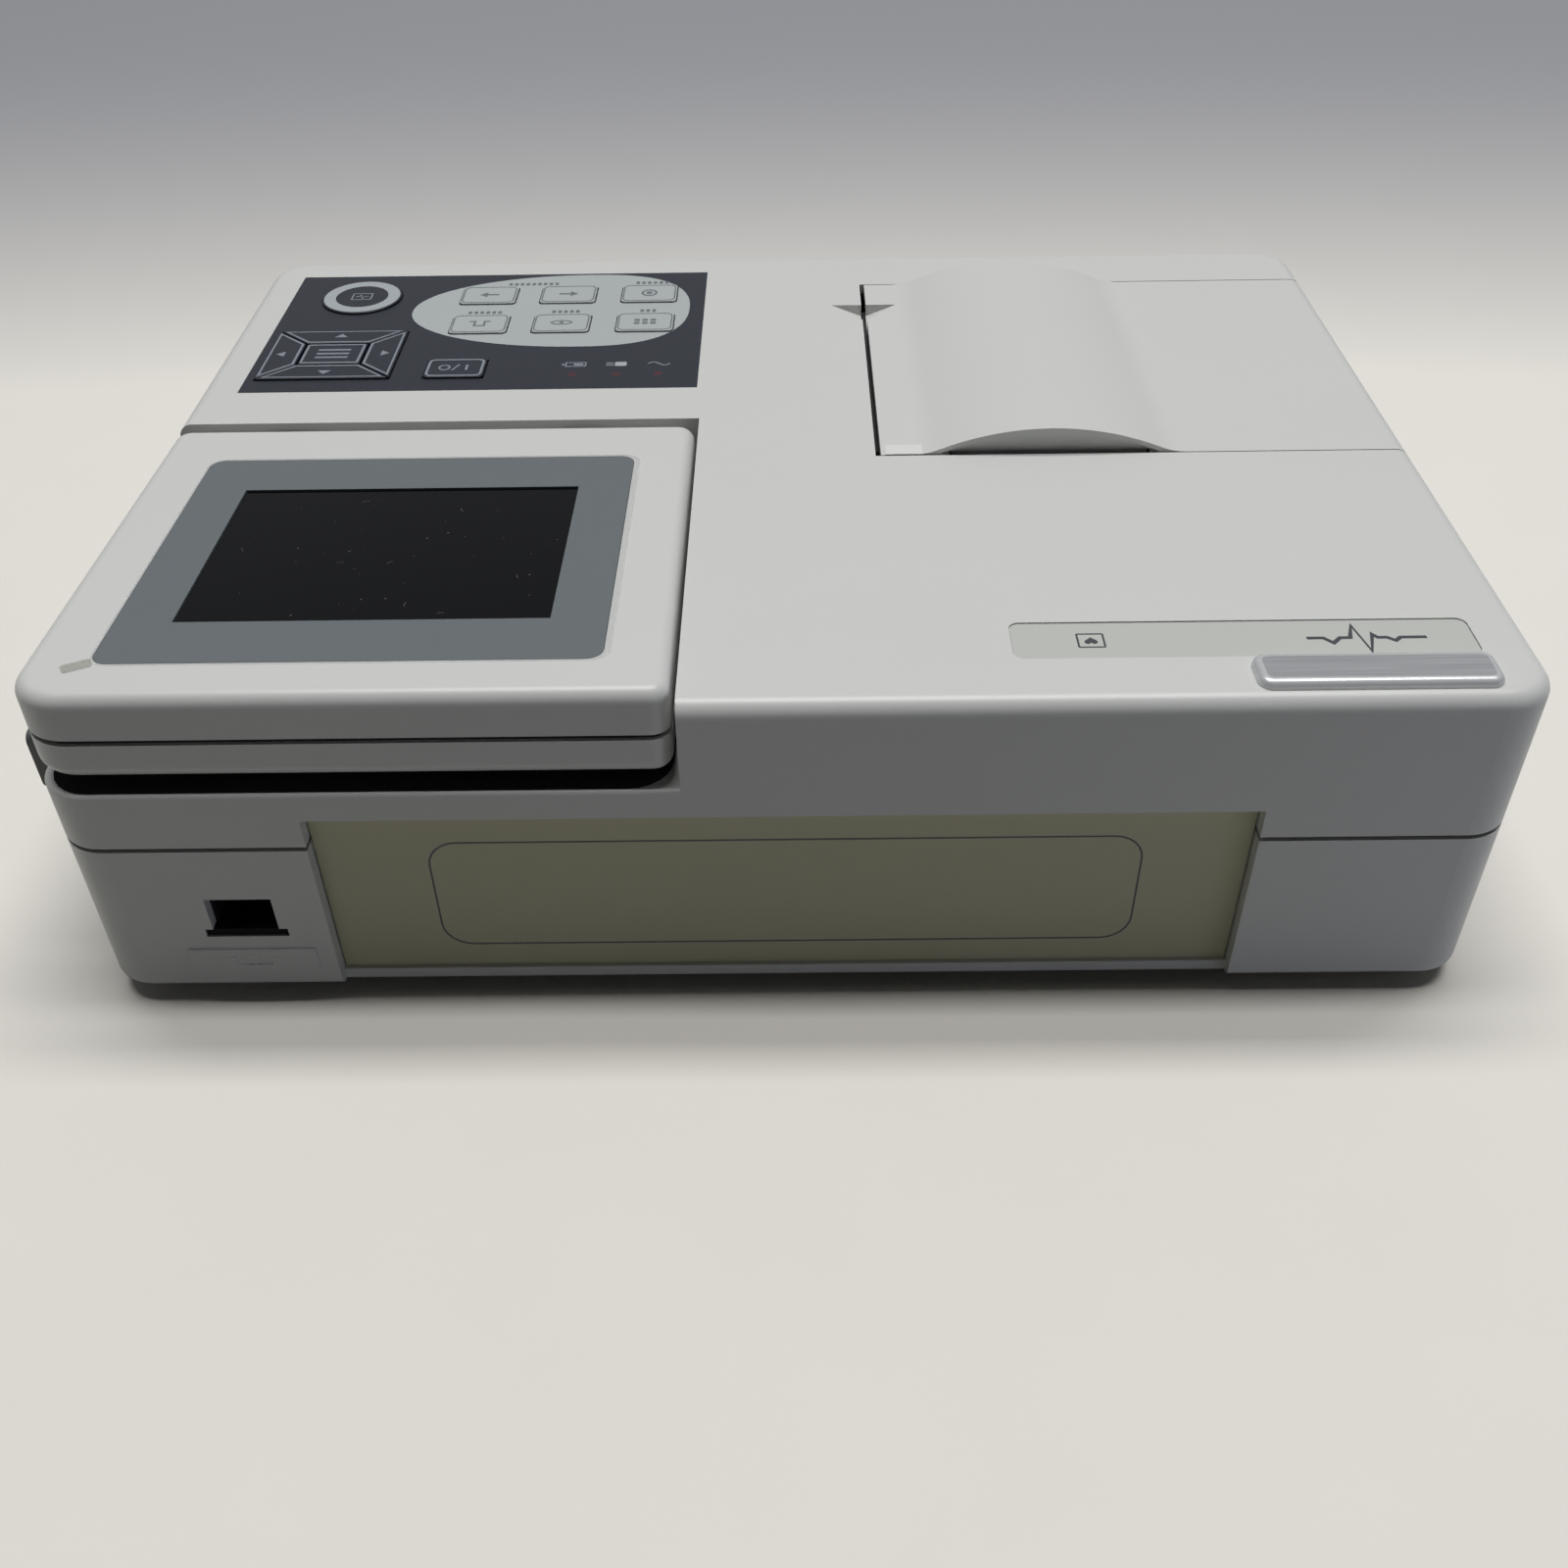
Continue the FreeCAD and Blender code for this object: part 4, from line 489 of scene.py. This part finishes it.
class ECG_OT_rear_outline(Task, bpy.types.Operator):
    """Print the empty outline on the rear plate"""

    bl_idname = "ecg.rear_outline"
    bl_label = "Rear outline"

    def execute(self, context):
        across, up, corner, line = (-72, 71), (13, 41.4), 6, 0.4
        outline = stroke(rounded(across, up, corner), line, closed=True)
        layer("rear_outline", outline, PLATE_REAR, PLATE_REAR + PLATE_PRINT,
              ink("screen_ink_dark", finish().ink), "base", upright=True)
        return {"FINISHED"}


class ECG_OT_label(Task, bpy.types.Operator):
    """Finish the label strip with its plain signs, and the bare domed badge"""

    bl_idname = "ecg.label"
    bl_label = "Label and badge"

    def execute(self, context):
        # Label strip: matt vinyl with a printed grey ground.
        dress(moulded("matt_vinyl_label", finish().label_grey, 1.2, 0.45, 0.08, 0.015), "top_label")
        dress(self.domed_foil("silver_foil_under_resin", "D3D5D6", 0.4), "top_badge")
        layer("badge_face", [within("top_badge", 1.6, 1.6, 1.3)], BADGE_TOP, BADGE_TOP + LABEL_PRINT,
              self.domed_foil("brushed_foil_under_resin", "DCDEDF", 1.0), "base")
        self.print_sign("label_heart", self.heart_sign(-59.7, 87.5))
        pulse = [(-124, 87.5), (-119, 87.5), (-117.8, 88.6), (-116.4, 87.5), (-114.6, 87.5),
                 (-113.8, 86.4), (-112.3, 92), (-110.6, 83.4), (-109.4, 87.5), (-107.4, 87.5),
                 (-105.8, 89.2), (-104.2, 87.5), (-101, 87.5)]
        self.print_sign("label_pulse", stroke(pulse, 0.9))
        return {"FINISHED"}

    def print_sign(self, name, outlines):
        layer(name, outlines, LABEL_TOP, LABEL_TOP + LABEL_PRINT, ink("screen_ink_dark", finish().ink),
              "base")

    def heart_sign(self, x, y):
        """A filled heart in a thin frame."""
        scale, lift, steps = 0.08, 0.15, 48
        heart = []
        for i in range(steps):
            t = 2 * math.pi * i / steps
            tall = 13 * math.cos(t) - 5 * math.cos(2 * t) - 2 * math.cos(3 * t) - math.cos(4 * t)
            heart.append((scale * 16 * math.sin(t) ** 3, scale * tall + lift))
        sign = stroke(rounded((-2.5, 2.5), (-2.2, 2.2), 0.2, 2), 0.4, closed=True) + [heart]
        return moved(sign, x, y)

    def domed_foil(self, name, code, share):
        # Brushed silver foil under a poured clear dome: pale metal with fine lines and a glossy skin.
        material = metal(name, linear(code), 0.34, 0, 0.4)
        shader = next(n for n in material.node_tree.nodes if n.type == "BSDF_PRINCIPLED")
        shader.inputs["Metallic"].default_value = share
        shader.inputs["Coat Weight"].default_value = 1.0
        shader.inputs["Coat Roughness"].default_value = 0.06
        return material


class ECG_OT_screen(Task, bpy.types.Operator):
    """Finish the bezel and display, lay the clear film and the dust"""

    bl_idname = "ecg.screen"
    bl_label = "Screen"

    def execute(self, context):
        dress(sheet_film("printed_grey_film", finish().bezel_grey, 0.42), "screen_bezel")
        dress(display_glass(), "lcd_panel")
        # Stainless hinge steel: bright, with fine rolling lines.
        dress(metal("stainless_hinge_steel", linear("B4B6B7"), 0.3, 0), "hinge_brackets", "hinge_pins")
        self.gap_shade()
        self.seam_shade()
        self.film()
        self.dust()
        return {"FINISHED"}

    def gap_shade(self):
        """Painted shade in the gap below the screen: a near black pad on the ledge that the closed screen
        rests over, just inside the ledge's edge.
        """
        x, y = plan("screen_back")
        past_bracket, inner_edge, outer_edge, rear_edge, corner, thick = 2, 0.5, 1.6, 0.1, 8.6, 0.25
        front = plan("hinge_brackets")[1][1] + past_bracket
        # Painted shade: a near black, dull layer that darkens the gap below the screen, where shade falls.
        shade_black = moulded("gap_painted_shade", linear("1E1E20"), 0.3, 0.95, 0.5, 0.1, gloss=0.2)
        outline = rounded((x[0] + inner_edge, x[1] - outer_edge), (front, y[1] - rear_edge), corner)
        layer("screen_gap_shade", [outline], LEDGE_TOP, LEDGE_TOP + thick, shade_black, "base")

    def seam_shade(self):
        """Painted shade in the seam between the screen's halves: a dark strip on the three sides away from
        the hinge.
        """
        x, y = plan("screen_front")
        depth, half_height, arc, past_hinge = 1.2, 0.55, 8, 9
        across, along = (x[0] + depth, x[1] - depth), (HINGE.y / MM + past_hinge, y[1] - depth)
        wide, small = (rounded(across, along, corner - depth, arc) for corner in SCREEN_CORNERS)
        path = [(across[1], along[0])] + wide[:arc + 1] + small[arc + 1:2 * arc + 2] + [(across[0], along[0])]
        # The black rubber strip is painted shade, standing in for the shade in the seam's groove.
        layer("screen_seam_shade", stroke(path, STRIP_WIDTH), SCREEN_SEAM - half_height, SCREEN_SEAM + half_height,
              black_rubber(), "screen", matrix=ON_SCREEN)

    def film(self):
        """Protective film a little larger than the bezel, with a pull tab at one corner."""
        x, y = plan("screen_bezel")
        past, corner = sizes().film_margin / MM, 4
        sheet = rounded((x[0] - past, x[1] + past / 3), (y[0] - past / 3, y[1] + past / 2), corner)
        # The bezel laps over the display, and the film is open over what it leaves free.
        lap = 4
        window = within("lcd_panel", lap, lap, 0.3, 2)
        low = SCREEN_TOP + 0.02
        layer("film_sheet", [sheet, window], low, low + 0.05,
              clear_film("clear_polyethylene_film", "8C9090", 0.05), "screen", matrix=ON_SCREEN)
        # A pale line round the film: painted highlight on its cut edge.
        layer("film_rim_highlight", stroke(sheet, 0.22, closed=True), low, low + 0.06,
              clear_film("painted_highlight_of_film_cut", "F2F3F2", 0.45), "screen", matrix=ON_SCREEN)
        turn = Matrix.Rotation(math.radians(27), 2)
        tab = [tuple(turn @ Vector(p)) for p in rounded((0.4, 6), (-1.5, 1.5), 0.6, 4)]
        layer("film_tab", moved([tab], x[1] - 0.8, y[1] - 0.6), low + 0.07, low + 0.12,
              clear_film("film_pull_tab", "B9B7AE", 0.3), "screen", matrix=ON_SCREEN)

    def dust(self):
        """Specks and a few fibres lying on the display."""
        chance = random.Random(7)
        x, y = plan("lcd_panel")
        border = 6
        x, y = (x[0] + border, x[1] - border), (y[0] + border, y[1] - border)
        specks = []
        for i in range(sizes().speck_count):
            spot = (chance.uniform(*x), chance.uniform(*y))
            if i % 6 == 0:
                bend = chance.uniform(0, math.pi)
                line = [(spot[0] + s * math.cos(bend + 0.5 * s), spot[1] + s * math.sin(bend + 0.5 * s))
                        for s in (-0.8, -0.3, 0.3, 0.8)]
                specks += stroke(line, 0.10)
            else:
                specks.append(circle(spot, chance.choice((0.07, 0.09, 0.12, 0.2)), 7))
        top = SCREEN_TOP - sizes().display_depth / MM
        # Lint and dust: pale, dull.
        layer("display_dust", specks, top, top + 0.03,
              moulded("settled_dust", linear("5E5A56"), 0.3, 0.9), "screen", matrix=ON_SCREEN)


class ECG_OT_keypad(Task, bpy.types.Operator):
    """Finish the keypad sheet and its keys, and print their marks"""

    bl_idname = "ecg.keypad"
    bl_label = "Keypad"

    pale = ("key_mode", "key_recall", "key_calibrate", "key_lead_back", "key_lead_next", "key_gain")

    def execute(self, context):
        keys = [name for name in NODES if name.startswith("key_") and name != "key_switches"]
        light = sheet_film("printed_pale_film", finish().field_grey)
        dark = [name for name in keys if name not in self.pale]
        dress(sheet_film("printed_blue_film", finish().sheet_blue), "keypad_overlay", *dark)
        dress(light, *self.pale)
        # Tinted acrylic lenses over unlit red lamps.
        dress(moulded("tinted_acrylic", linear("4A2128"), 1.0, 0.25, 0.05, 0.05), "status_lights")
        self.field(light)
        self.function_marks()
        self.dark_marks()
        self.arrow_marks()
        self.lamp_marks()
        return {"FINISHED"}

    def on_key(self, name, outlines, material, slot):
        layer(f"mark_{name}", outlines, KEY_TOP, KEY_TOP + sizes().print_height / MM, material,
              f"body_{name}")

    def on_sheet(self, name, outlines, material, slot, rise=1):
        layer(name, outlines, SHEET_TOP, SHEET_TOP + rise * sizes().print_height / MM, material, "base")

    def field(self, light):
        """The egg-shaped pale field, open round each function key."""
        centre, high, steps = (53.5, -71.15), 23.65, 96
        # Reach of the long and the blunt end, with the powers that round them across and along.
        long_end, blunt_end = (45.7, 1.0, 0.98), (29.1, 0.72, 0.86)
        egg = []
        for i in range(steps):
            t = 2 * math.pi * i / steps
            c, s = math.cos(t), math.sin(t)
            reach, round_x, round_y = long_end if c > 0 else blunt_end
            egg.append((centre[0] + reach * math.copysign(abs(c) ** round_x, c),
                        centre[1] + high * math.copysign(abs(s) ** round_y, s)))
        holes = [within(name, 0.5, -0.3, 1.4) for name in self.pale]
        self.on_sheet("key_field", [egg] + holes, light, "key_light")

    def function_marks(self):
        """Outline and plain sign on each pale key, short bars where a caption would stand."""
        grey = ink("screen_ink_grey", finish().mark_grey)
        arrow = [(-2.6, -0.4), (0.5, -0.4), (0.5, -1.6), (2.6, 0), (0.5, 1.6), (0.5, 0.4), (-2.6, 0.4)]
        lens = [(3 * math.cos(t), 1.5 * math.sin(t) * abs(math.sin(t)) ** 0.3)
                for t in (2 * math.pi * i / 32 for i in range(32))]
        signs = {
            "key_lead_next": [arrow],
            "key_lead_back": [[(-a, b) for a, b in arrow]],
            "key_gain": stroke(circle((0, 0), 1.9, 24), 0.6, closed=True) + [circle((0, 0), 0.9, 16)],
            "key_calibrate": stroke([(-2.8, -1.3), (-1.3, -1.3), (-1.3, 1.4), (1.3, 1.4), (1.3, -1.3),
                                     (2.8, -1.3)], 0.6),
            "key_recall": [lens, inset(lens, 0.5), circle((0, 0), 0.65, 16)],
            "key_mode": [rounded((a, a + 1.5), (b, b + 1.3), 0.2, 2)
                         for a in (-2.9, -0.75, 1.4) for b in (-1.6, 0.3)],
        }
        for name, sign in signs.items():
            edge = stroke(within(name, 1.3, 0.5, 1.6), 0.35, closed=True)
            self.on_key(name, moved(sign, *middle(name)) + edge, grey, "key_light")
        bars = []
        for name, length in (("key_calibrate", 10), ("key_recall", 8), ("key_mode", 6), ("key_gain", 11)):
            bars += self.caption(*middle(name), length)
        both = (middle("key_lead_back")[0] + middle("key_lead_next")[0]) / 2
        bars += self.caption(both, middle("key_lead_back")[1], 15)
        self.on_sheet("key_captions", bars, grey, "key_light", 2)

    def caption(self, x, y, length):
        """A row of short plain bars on the operator's side of a key."""
        step, bar, near, far, corner = 1.6, 1.0, 7.3, 8.9, 0.15
        count = int(length / step)
        starts = [x + (i - count / 2) * step for i in range(count)]
        return [rounded((start, start + bar), (y - far, y - near), corner, 2) for start in starts]

    def dark_marks(self):
        """Marks on the round key, the on/off key and the centre key."""
        line = ink("screen_ink_line", finish().line_grey)
        ring = ink("screen_ink_ring", finish().ring_grey)
        thin = sizes().line_width / MM
        sheet = stroke(rounded((-2.6, 2.6), (-2, 2), 0.3, 2), 0.4, closed=True)
        sheet += stroke([(-1.8, 0), (-0.8, 0), (-0.2, 1.2), (0.4, -1), (0.9, 0), (1.8, 0)], 0.35)
        centre = middle("key_print")
        self.on_key("key_print", [circle(centre, 10.3, 64), circle(centre, 7.1, 64)], ring, "key_blue")
        layer("mark_print_sheet", moved(sheet, *centre), KEY_TOP, KEY_TOP + sizes().print_height / MM, line,
              "body_key_print")
        edge = stroke(within("key_power", 1.5, 0.6, 1.4), thin, closed=True)
        sign = [rounded((-3.2, -2.6), (-1.5, 1.5), 0.1, 2),
                [(-1.1, -1.7), (-0.6, -1.7), (0.9, 1.7), (0.4, 1.7)]]
        sign += stroke(circle((2.7, 0), 1.3, 24), 0.5, closed=True)
        self.on_key("key_power", edge + moved(sign, *middle("key_power")), line, "key_blue")
        edge = stroke(within("key_menu", 0.6, 0.6, 0.4, 2), thin, closed=True)
        bars = [rounded((-4.2, 4.2), (b - 0.45, b + 0.45), 0.2, 2) for b in (-2.2, 0, 2.2)]
        self.on_key("key_menu", edge + moved(bars, *middle("key_menu")), line, "key_blue")

    def arrow_marks(self):
        """Outline and pointer on each arrow key."""
        line = ink("screen_ink_line", finish().line_grey)
        cx, cy = middle("key_menu")
        wide, deep, in_x, in_y, gap, margin = 16.85, 14.1, 8.4, 6.45, 0.3, 0.65
        for name, sx, sy in (("key_left", -1, 0), ("key_right", 1, 0), ("key_down", 0, -1), ("key_up", 0, 1)):
            if sx:
                shape = [(sx * wide, gap - deep), (sx * wide, deep - gap),
                         (sx * in_x, in_y - gap), (sx * in_x, gap - in_y)]
                tip = [(sx * 14.6, 0), (sx * 12.4, 1.5), (sx * 12.4, -1.5)]
            else:
                shape = [(gap - wide, sy * deep), (wide - gap, sy * deep),
                         (in_x - gap, sy * in_y), (gap - in_x, sy * in_y)]
                tip = [(0, sy * 12), (1.7, sy * 9.9), (-1.7, sy * 9.9)]
            outline = stroke(inset(shape, margin), sizes().line_width / MM, closed=True)
            self.on_key(name, moved(outline + [tip], cx, cy), line, "key_blue")

    def lamp_marks(self):
        """Battery, plug and wave signs beside the three lamps."""
        line = ink("screen_ink_line", finish().line_grey)
        battery = stroke(rounded((-2.8, 2.2), (-1.1, 1.1), 0.2, 2), 0.4, closed=True)
        battery += [rounded((2.6, 3.2), (-0.5, 0.5), 0.1, 2), rounded((-2.2, 0.2), (-0.6, 0.6), 0.1, 2)]
        plug = [rounded((-2.4, 0.6), (-1.2, 1.2), 0.5, 3), rounded((0.9, 2.8), (0.4, 0.8), 0.1, 2),
                rounded((0.9, 2.8), (-0.8, -0.4), 0.1, 2)]
        wave = stroke([(i * 0.4 - 2.8, 0.9 * math.sin(i * math.pi / 7)) for i in range(15)], 0.45)
        row = -36.8
        self.on_sheet("lamp_signs", moved(battery, 52, row) + moved(wave, 30.6, row), line, "overlay_blue")
        self.on_sheet("plug_sign", moved(plug, 41.2, row), ink("screen_ink_ring", finish().ring_grey),
                      "overlay_blue")


class ECG_OT_recorder(Task, bpy.types.Operator):
    """Finish the paper path, the gear train and the inner frame"""

    bl_idname = "ecg.recorder"
    bl_label = "Recorder"

    def execute(self, context):
        # Inner frame: plain grey ABS, left as it leaves the mould.
        dress(moulded("moulded_grey_abs", linear("808387"), 0.6, 0.5), "recorder_frame")
        dress(chart_paper(), "paper_roll")
        # Acetal: milky white with a waxy gloss.
        dress(moulded("moulded_acetal", linear("E2E2DD"), 0.8, 0.35), "paper_spindle", "platen_gear",
              "idler_gear")
        dress(rubber("ground_roller_rubber", "1C1C1E"), "platen_roller")
        # Ground steel: bright, with fine lines along the shaft.
        dress(metal("ground_shaft_steel", linear("B9BBBC"), 0.25, 1), "platen_shaft", "door_pins",
              "idler_pin", "motor_shaft", "drive_motor")
        # Glazed ceramic: dark, with a hard gloss.
        dress(moulded("glazed_dark_ceramic", linear("2C2C2E"), 1.0, 0.25), "print_head")
        # Anodised aluminium: dark and satin.
        dress(metal("black_anodised_aluminium", linear("26282A"), 0.45, 1), "head_sink")
        # Turned brass: a warm yellow with fine lines.
        dress(metal("turned_brass", linear("C9A95B"), 0.28, 1), "motor_pinion", "earth_pin")
        return {"FINISHED"}


class ECG_OT_connectors(Task, bpy.types.Operator):
    """Finish the sockets, the switch and the boards inside, and set the network contacts"""

    bl_idname = "ecg.connectors"
    bl_label = "Connectors and boards"

    def execute(self, context):
        # Glass filled PBT: dark and dull.
        dress(moulded("moulded_grey_pbt", finish().hood_grey, 0.6, 0.5), "patient_hood")
        # Nickel plate: a warm grey shine.
        dress(metal("nickel_plated_shell", linear("B5B3AC"), 0.3), "patient_socket", "key_switches")
        dress(moulded("moulded_black_pbt", linear("141416"), 0.8, 0.42), "mains_inlet", "mains_switch",
              "mains_rocker")
        # The network socket's body is left dull from the mould, so that its mouth stays dark.
        dress(moulded("dull_black_pbt", linear("0C0C0D"), 0.5, 0.8, 0.4, gloss=0.1), "network_jack")
        dress(board_green(), "main_board", "power_supply", "keypad_board")
        # Shrink sleeve over the cells: glossy blue film.
        dress(moulded("shrink_sleeve", linear("24437A"), 4.0, 0.22, 0.2), "battery_pack")
        self.contacts()
        return {"FINISHED"}

    def contacts(self):
        """Eight sprung contacts sloping down from the roof of the network socket."""
        x, y = middle("network_jack")[0], plan("network_jack")[1][1]
        count, pitch, width = 8, 1.02, 0.44
        # Corners of a contact seen from the side: depth from the socket's mouth, and height.
        section = ((-3.2, 28.0), (-3.2, 27.7), (-9.5, 24.8), (-9.5, 25.1))
        points, faces = [], []
        for i in range(count):
            left = x + (i - (count - 1) / 2) * pitch - width / 2
            s = len(points)
            for a in (left, left + width):
                points += [at(a, y + b, c) for b, c in section]
            faces += [(s, s + 1, s + 2, s + 3), (s + 7, s + 6, s + 5, s + 4)]
            faces += [(s + k, s + 4 + k, s + 4 + (k + 1) % 4, s + (k + 1) % 4) for k in range(4)]
        mesh = bpy.data.meshes.new("network_contacts")
        mesh.from_pydata(points, [], faces)
        # Gold plated bronze springs: warm and bright.
        put("network_contacts", mesh, metal("gold_plated_bronze", linear("D8B45A"), 0.25), "base")


class ECG_OT_stage(Task, bpy.types.Operator):
    """Floor, soft light and the camera"""

    bl_idname = "ecg.stage"
    bl_label = "Stage"

    def execute(self, context):
        self.floor()
        self.light()
        self.camera()
        return {"FINISHED"}

    def floor(self):
        """A wide sheet of paper with a painted pool of light: pale round the machine, and greyer with
        distance as painted shade.
        """
        material, tree, shader, place = begin("backdrop_paper")
        # Distance from the machine, counted three times faster towards and away from the camera than across.
        flat = add(tree, "ShaderNodeMapping", {"Vector": place, "Location": (0, -0.06, 0),
                                               "Scale": (0.33, 1, 1)})
        far = add(tree, "ShaderNodeVectorMath", {0: flat.outputs["Vector"]}, operation="LENGTH")
        far = far.outputs["Value"]
        # Painted light: pale paper near the machine fades to painted shade further off, in place of the
        # lamps' falloff.
        pale_to, grey_from, falloff = 0.26, 0.76, 2.5
        near = add(tree, "ShaderNodeMapRange", {"Value": far, "From Min": pale_to, "From Max": grey_from,
                                                "To Min": 1.0, "To Max": 0.0}).outputs["Result"]
        share = add(tree, "ShaderNodeMath", {0: near, 1: falloff}, operation="POWER").outputs[0]
        fibre = add(tree, "ShaderNodeTexNoise", {"Vector": place, "Scale": per_metre(30), "Detail": 6.0})
        pale = add(tree, "ShaderNodeMix", {0: fibre.outputs["Fac"], 6: tinted(finish().floor_paper, 0.985),
                                           7: tinted(finish().floor_paper, 1.015)}, data_type="RGBA")
        tone = add(tree, "ShaderNodeMix", {0: share, 6: finish().floor_painted_shade, 7: pale.outputs[2]},
                   data_type="RGBA")
        # Beyond the lamps' reach, the paper seen by the camera turns black and glows with the pale room's
        # colour, seen only by the camera and in reflections.
        room_from, room_to = 0.8, 1.6
        end = add(tree, "ShaderNodeMapRange", {"Value": far, "From Min": room_from, "From Max": room_to})
        end = end.outputs["Result"]
        tone = add(tree, "ShaderNodeMix", {0: end, 6: tone.outputs[2], 7: linear("000000")}, data_type="RGBA")
        # The camera and mirror-like surfaces see the pale paper; a greyer one lights the machine from below.
        seen = self.seen(tree)
        shown = add(tree, "ShaderNodeMix", {0: seen, 6: finish().floor_bounce, 7: tone.outputs[2]},
                    data_type="RGBA")
        glow = add(tree, "ShaderNodeMath", {0: end, 1: seen}, operation="MULTIPLY")
        glow = add(tree, "ShaderNodeMath", {0: glow.outputs[0], 1: sizes().room_light}, operation="MULTIPLY")
        tree.links.new(shown.outputs[2], shader.inputs["Base Color"])
        tree.links.new(glow.outputs[0], shader.inputs["Emission Strength"])
        shader.inputs["Emission Color"].default_value = finish().room_grey
        shader.inputs["Roughness"].default_value = 0.9
        half = 4
        mesh = bpy.data.meshes.new("floor")
        mesh.from_pydata([(-half, -half, 0), (half, -half, 0), (half, half, 0), (-half, half, 0)], [],
                         [(0, 1, 2, 3)])
        mesh.materials.append(material)
        sheet = bpy.data.objects.new("floor", mesh)
        bpy.context.collection.objects.link(sheet)

    def seen(self, tree):
        """One where the camera, a mirror or glass looks, and zero where light is gathered."""
        path = add(tree, "ShaderNodeLightPath").outputs
        seen = add(tree, "ShaderNodeMath", {0: path["Is Camera Ray"], 1: path["Is Glossy Ray"]},
                   operation="MAXIMUM")
        return add(tree, "ShaderNodeMath", {0: seen.outputs[0], 1: path["Is Transmission Ray"]},
                   operation="MAXIMUM").outputs[0]

    def light(self):
        """Two long ceiling lamps, a room that is brighter on the far side, and a window behind the camera."""
        scene = bpy.context.scene
        scene.view_settings.view_transform = "Standard"
        world = bpy.data.worlds.new("soft_room")
        scene.world = world
        world.use_nodes = True
        tree = world.node_tree
        way = add(tree, "ShaderNodeSeparateXYZ", {0: add(tree, "ShaderNodeTexCoord").outputs["Generated"]})
        bright_to, dim_from, dim = -0.8, 0.1, 0.025
        glow = add(tree, "ShaderNodeMapRange", {"Value": way.outputs["Y"], "From Min": bright_to,
                                                "From Max": dim_from, "To Min": sizes().room_light,
                                                "To Max": dim})
        shown = add(tree, "ShaderNodeMix", {0: self.seen(tree), 2: glow.outputs["Result"],
                                            3: sizes().room_light})
        back = tree.nodes["Background"]
        back.inputs["Color"].default_value = finish().room_grey
        tree.links.new(shown.outputs[0], back.inputs["Strength"])
        aim, rear_corner = (-0.15, 0.05, 0.05), (-0.1, 0.1, 0.03)
        self.lamp("ceiling_near", (-0.15, 0, 2.75), (2.2, 0.29), aim, sizes().lamp_power)
        self.lamp("ceiling_far", (-0.15, -0.55, 2.70), (2.2, 0.36), aim, sizes().lamp_power)
        # Cool light from the right of the camera: it reaches the rear wall, most at its right end.
        window = self.lamp("window", (-0.42, 0.3, 0.05), (0.2, 0.08), rear_corner, sizes().window_power)
        window.data.color = finish().window_blue[:3]
        window.visible_glossy = False
        # It is kept off the paper, where it would leave a bright patch.
        unlit = bpy.data.collections.new("out_of_window_light")
        unlit.objects.link(bpy.data.objects["floor"])
        unlit.collection_objects[0].light_linking.link_state = "EXCLUDE"
        window.light_linking.receiver_collection = unlit

    def lamp(self, name, place, spread, aim, power):
        data = bpy.data.lights.new(name, "AREA")
        data.shape, (data.size, data.size_y), data.energy = "RECTANGLE", spread, power
        lamp = bpy.data.objects.new(name, data)
        lamp.location = place
        lamp.rotation_euler = (Vector(aim) - lamp.location).to_track_quat("-Z", "Y").to_euler()
        bpy.context.collection.objects.link(lamp)
        return lamp

    def camera(self):
        """The photograph's camera, as solved from the edges of the case."""
        data = bpy.data.cameras.new("camera")
        data.sensor_fit, data.sensor_width = "HORIZONTAL", 36
        data.lens = sizes().camera_lens
        data.clip_start = 0.01
        eye = bpy.data.objects.new("camera", data)
        right = Vector((-0.99991846, 0.001404, -0.01269285))
        up = Vector((-0.01065173, -0.63995973, 0.76833462))
        back = right.cross(up)
        turn = Matrix((right, up, back)).transposed().to_4x4()
        eye.matrix_world = Matrix.Translation(at(-2.66, 336.59, 249.19)) @ turn
        bpy.context.collection.objects.link(eye)
        bpy.context.scene.camera = eye


class ECG_PT_panel(bpy.types.Panel):
    """Lists the steps that dress the machine"""

    bl_idname = "ECG_PT_panel"
    bl_label = "Ecg machine"
    bl_space_type = "VIEW_3D"
    bl_region_type = "UI"
    bl_category = "Ecg machine"

    def draw(self, context):
        for step in STEPS:
            self.layout.operator(step.bl_idname, text=step.bl_label)
        for group in (context.scene.ecg_finishes, context.scene.ecg_sizes):
            for name in group.__annotations__:
                self.layout.prop(group, name)


STEPS = (ECG_OT_case, ECG_OT_rear_outline, ECG_OT_label, ECG_OT_screen, ECG_OT_keypad, ECG_OT_recorder,
         ECG_OT_connectors, ECG_OT_stage)
CLASSES = (EcgFinishes, EcgSizes) + STEPS + (ECG_PT_panel,)


def register():
    for cls in CLASSES:
        bpy.utils.register_class(cls)
    bpy.types.Scene.ecg_finishes = PointerProperty(type=EcgFinishes)
    bpy.types.Scene.ecg_sizes = PointerProperty(type=EcgSizes)


def unregister():
    del bpy.types.Scene.ecg_sizes
    del bpy.types.Scene.ecg_finishes
    for cls in reversed(CLASSES):
        bpy.utils.unregister_class(cls)


def main():
    register()
    for step in STEPS:
        space, name = step.bl_idname.split(".")
        getattr(getattr(bpy.ops, space), name)()


if __name__ == "__main__":
    main()
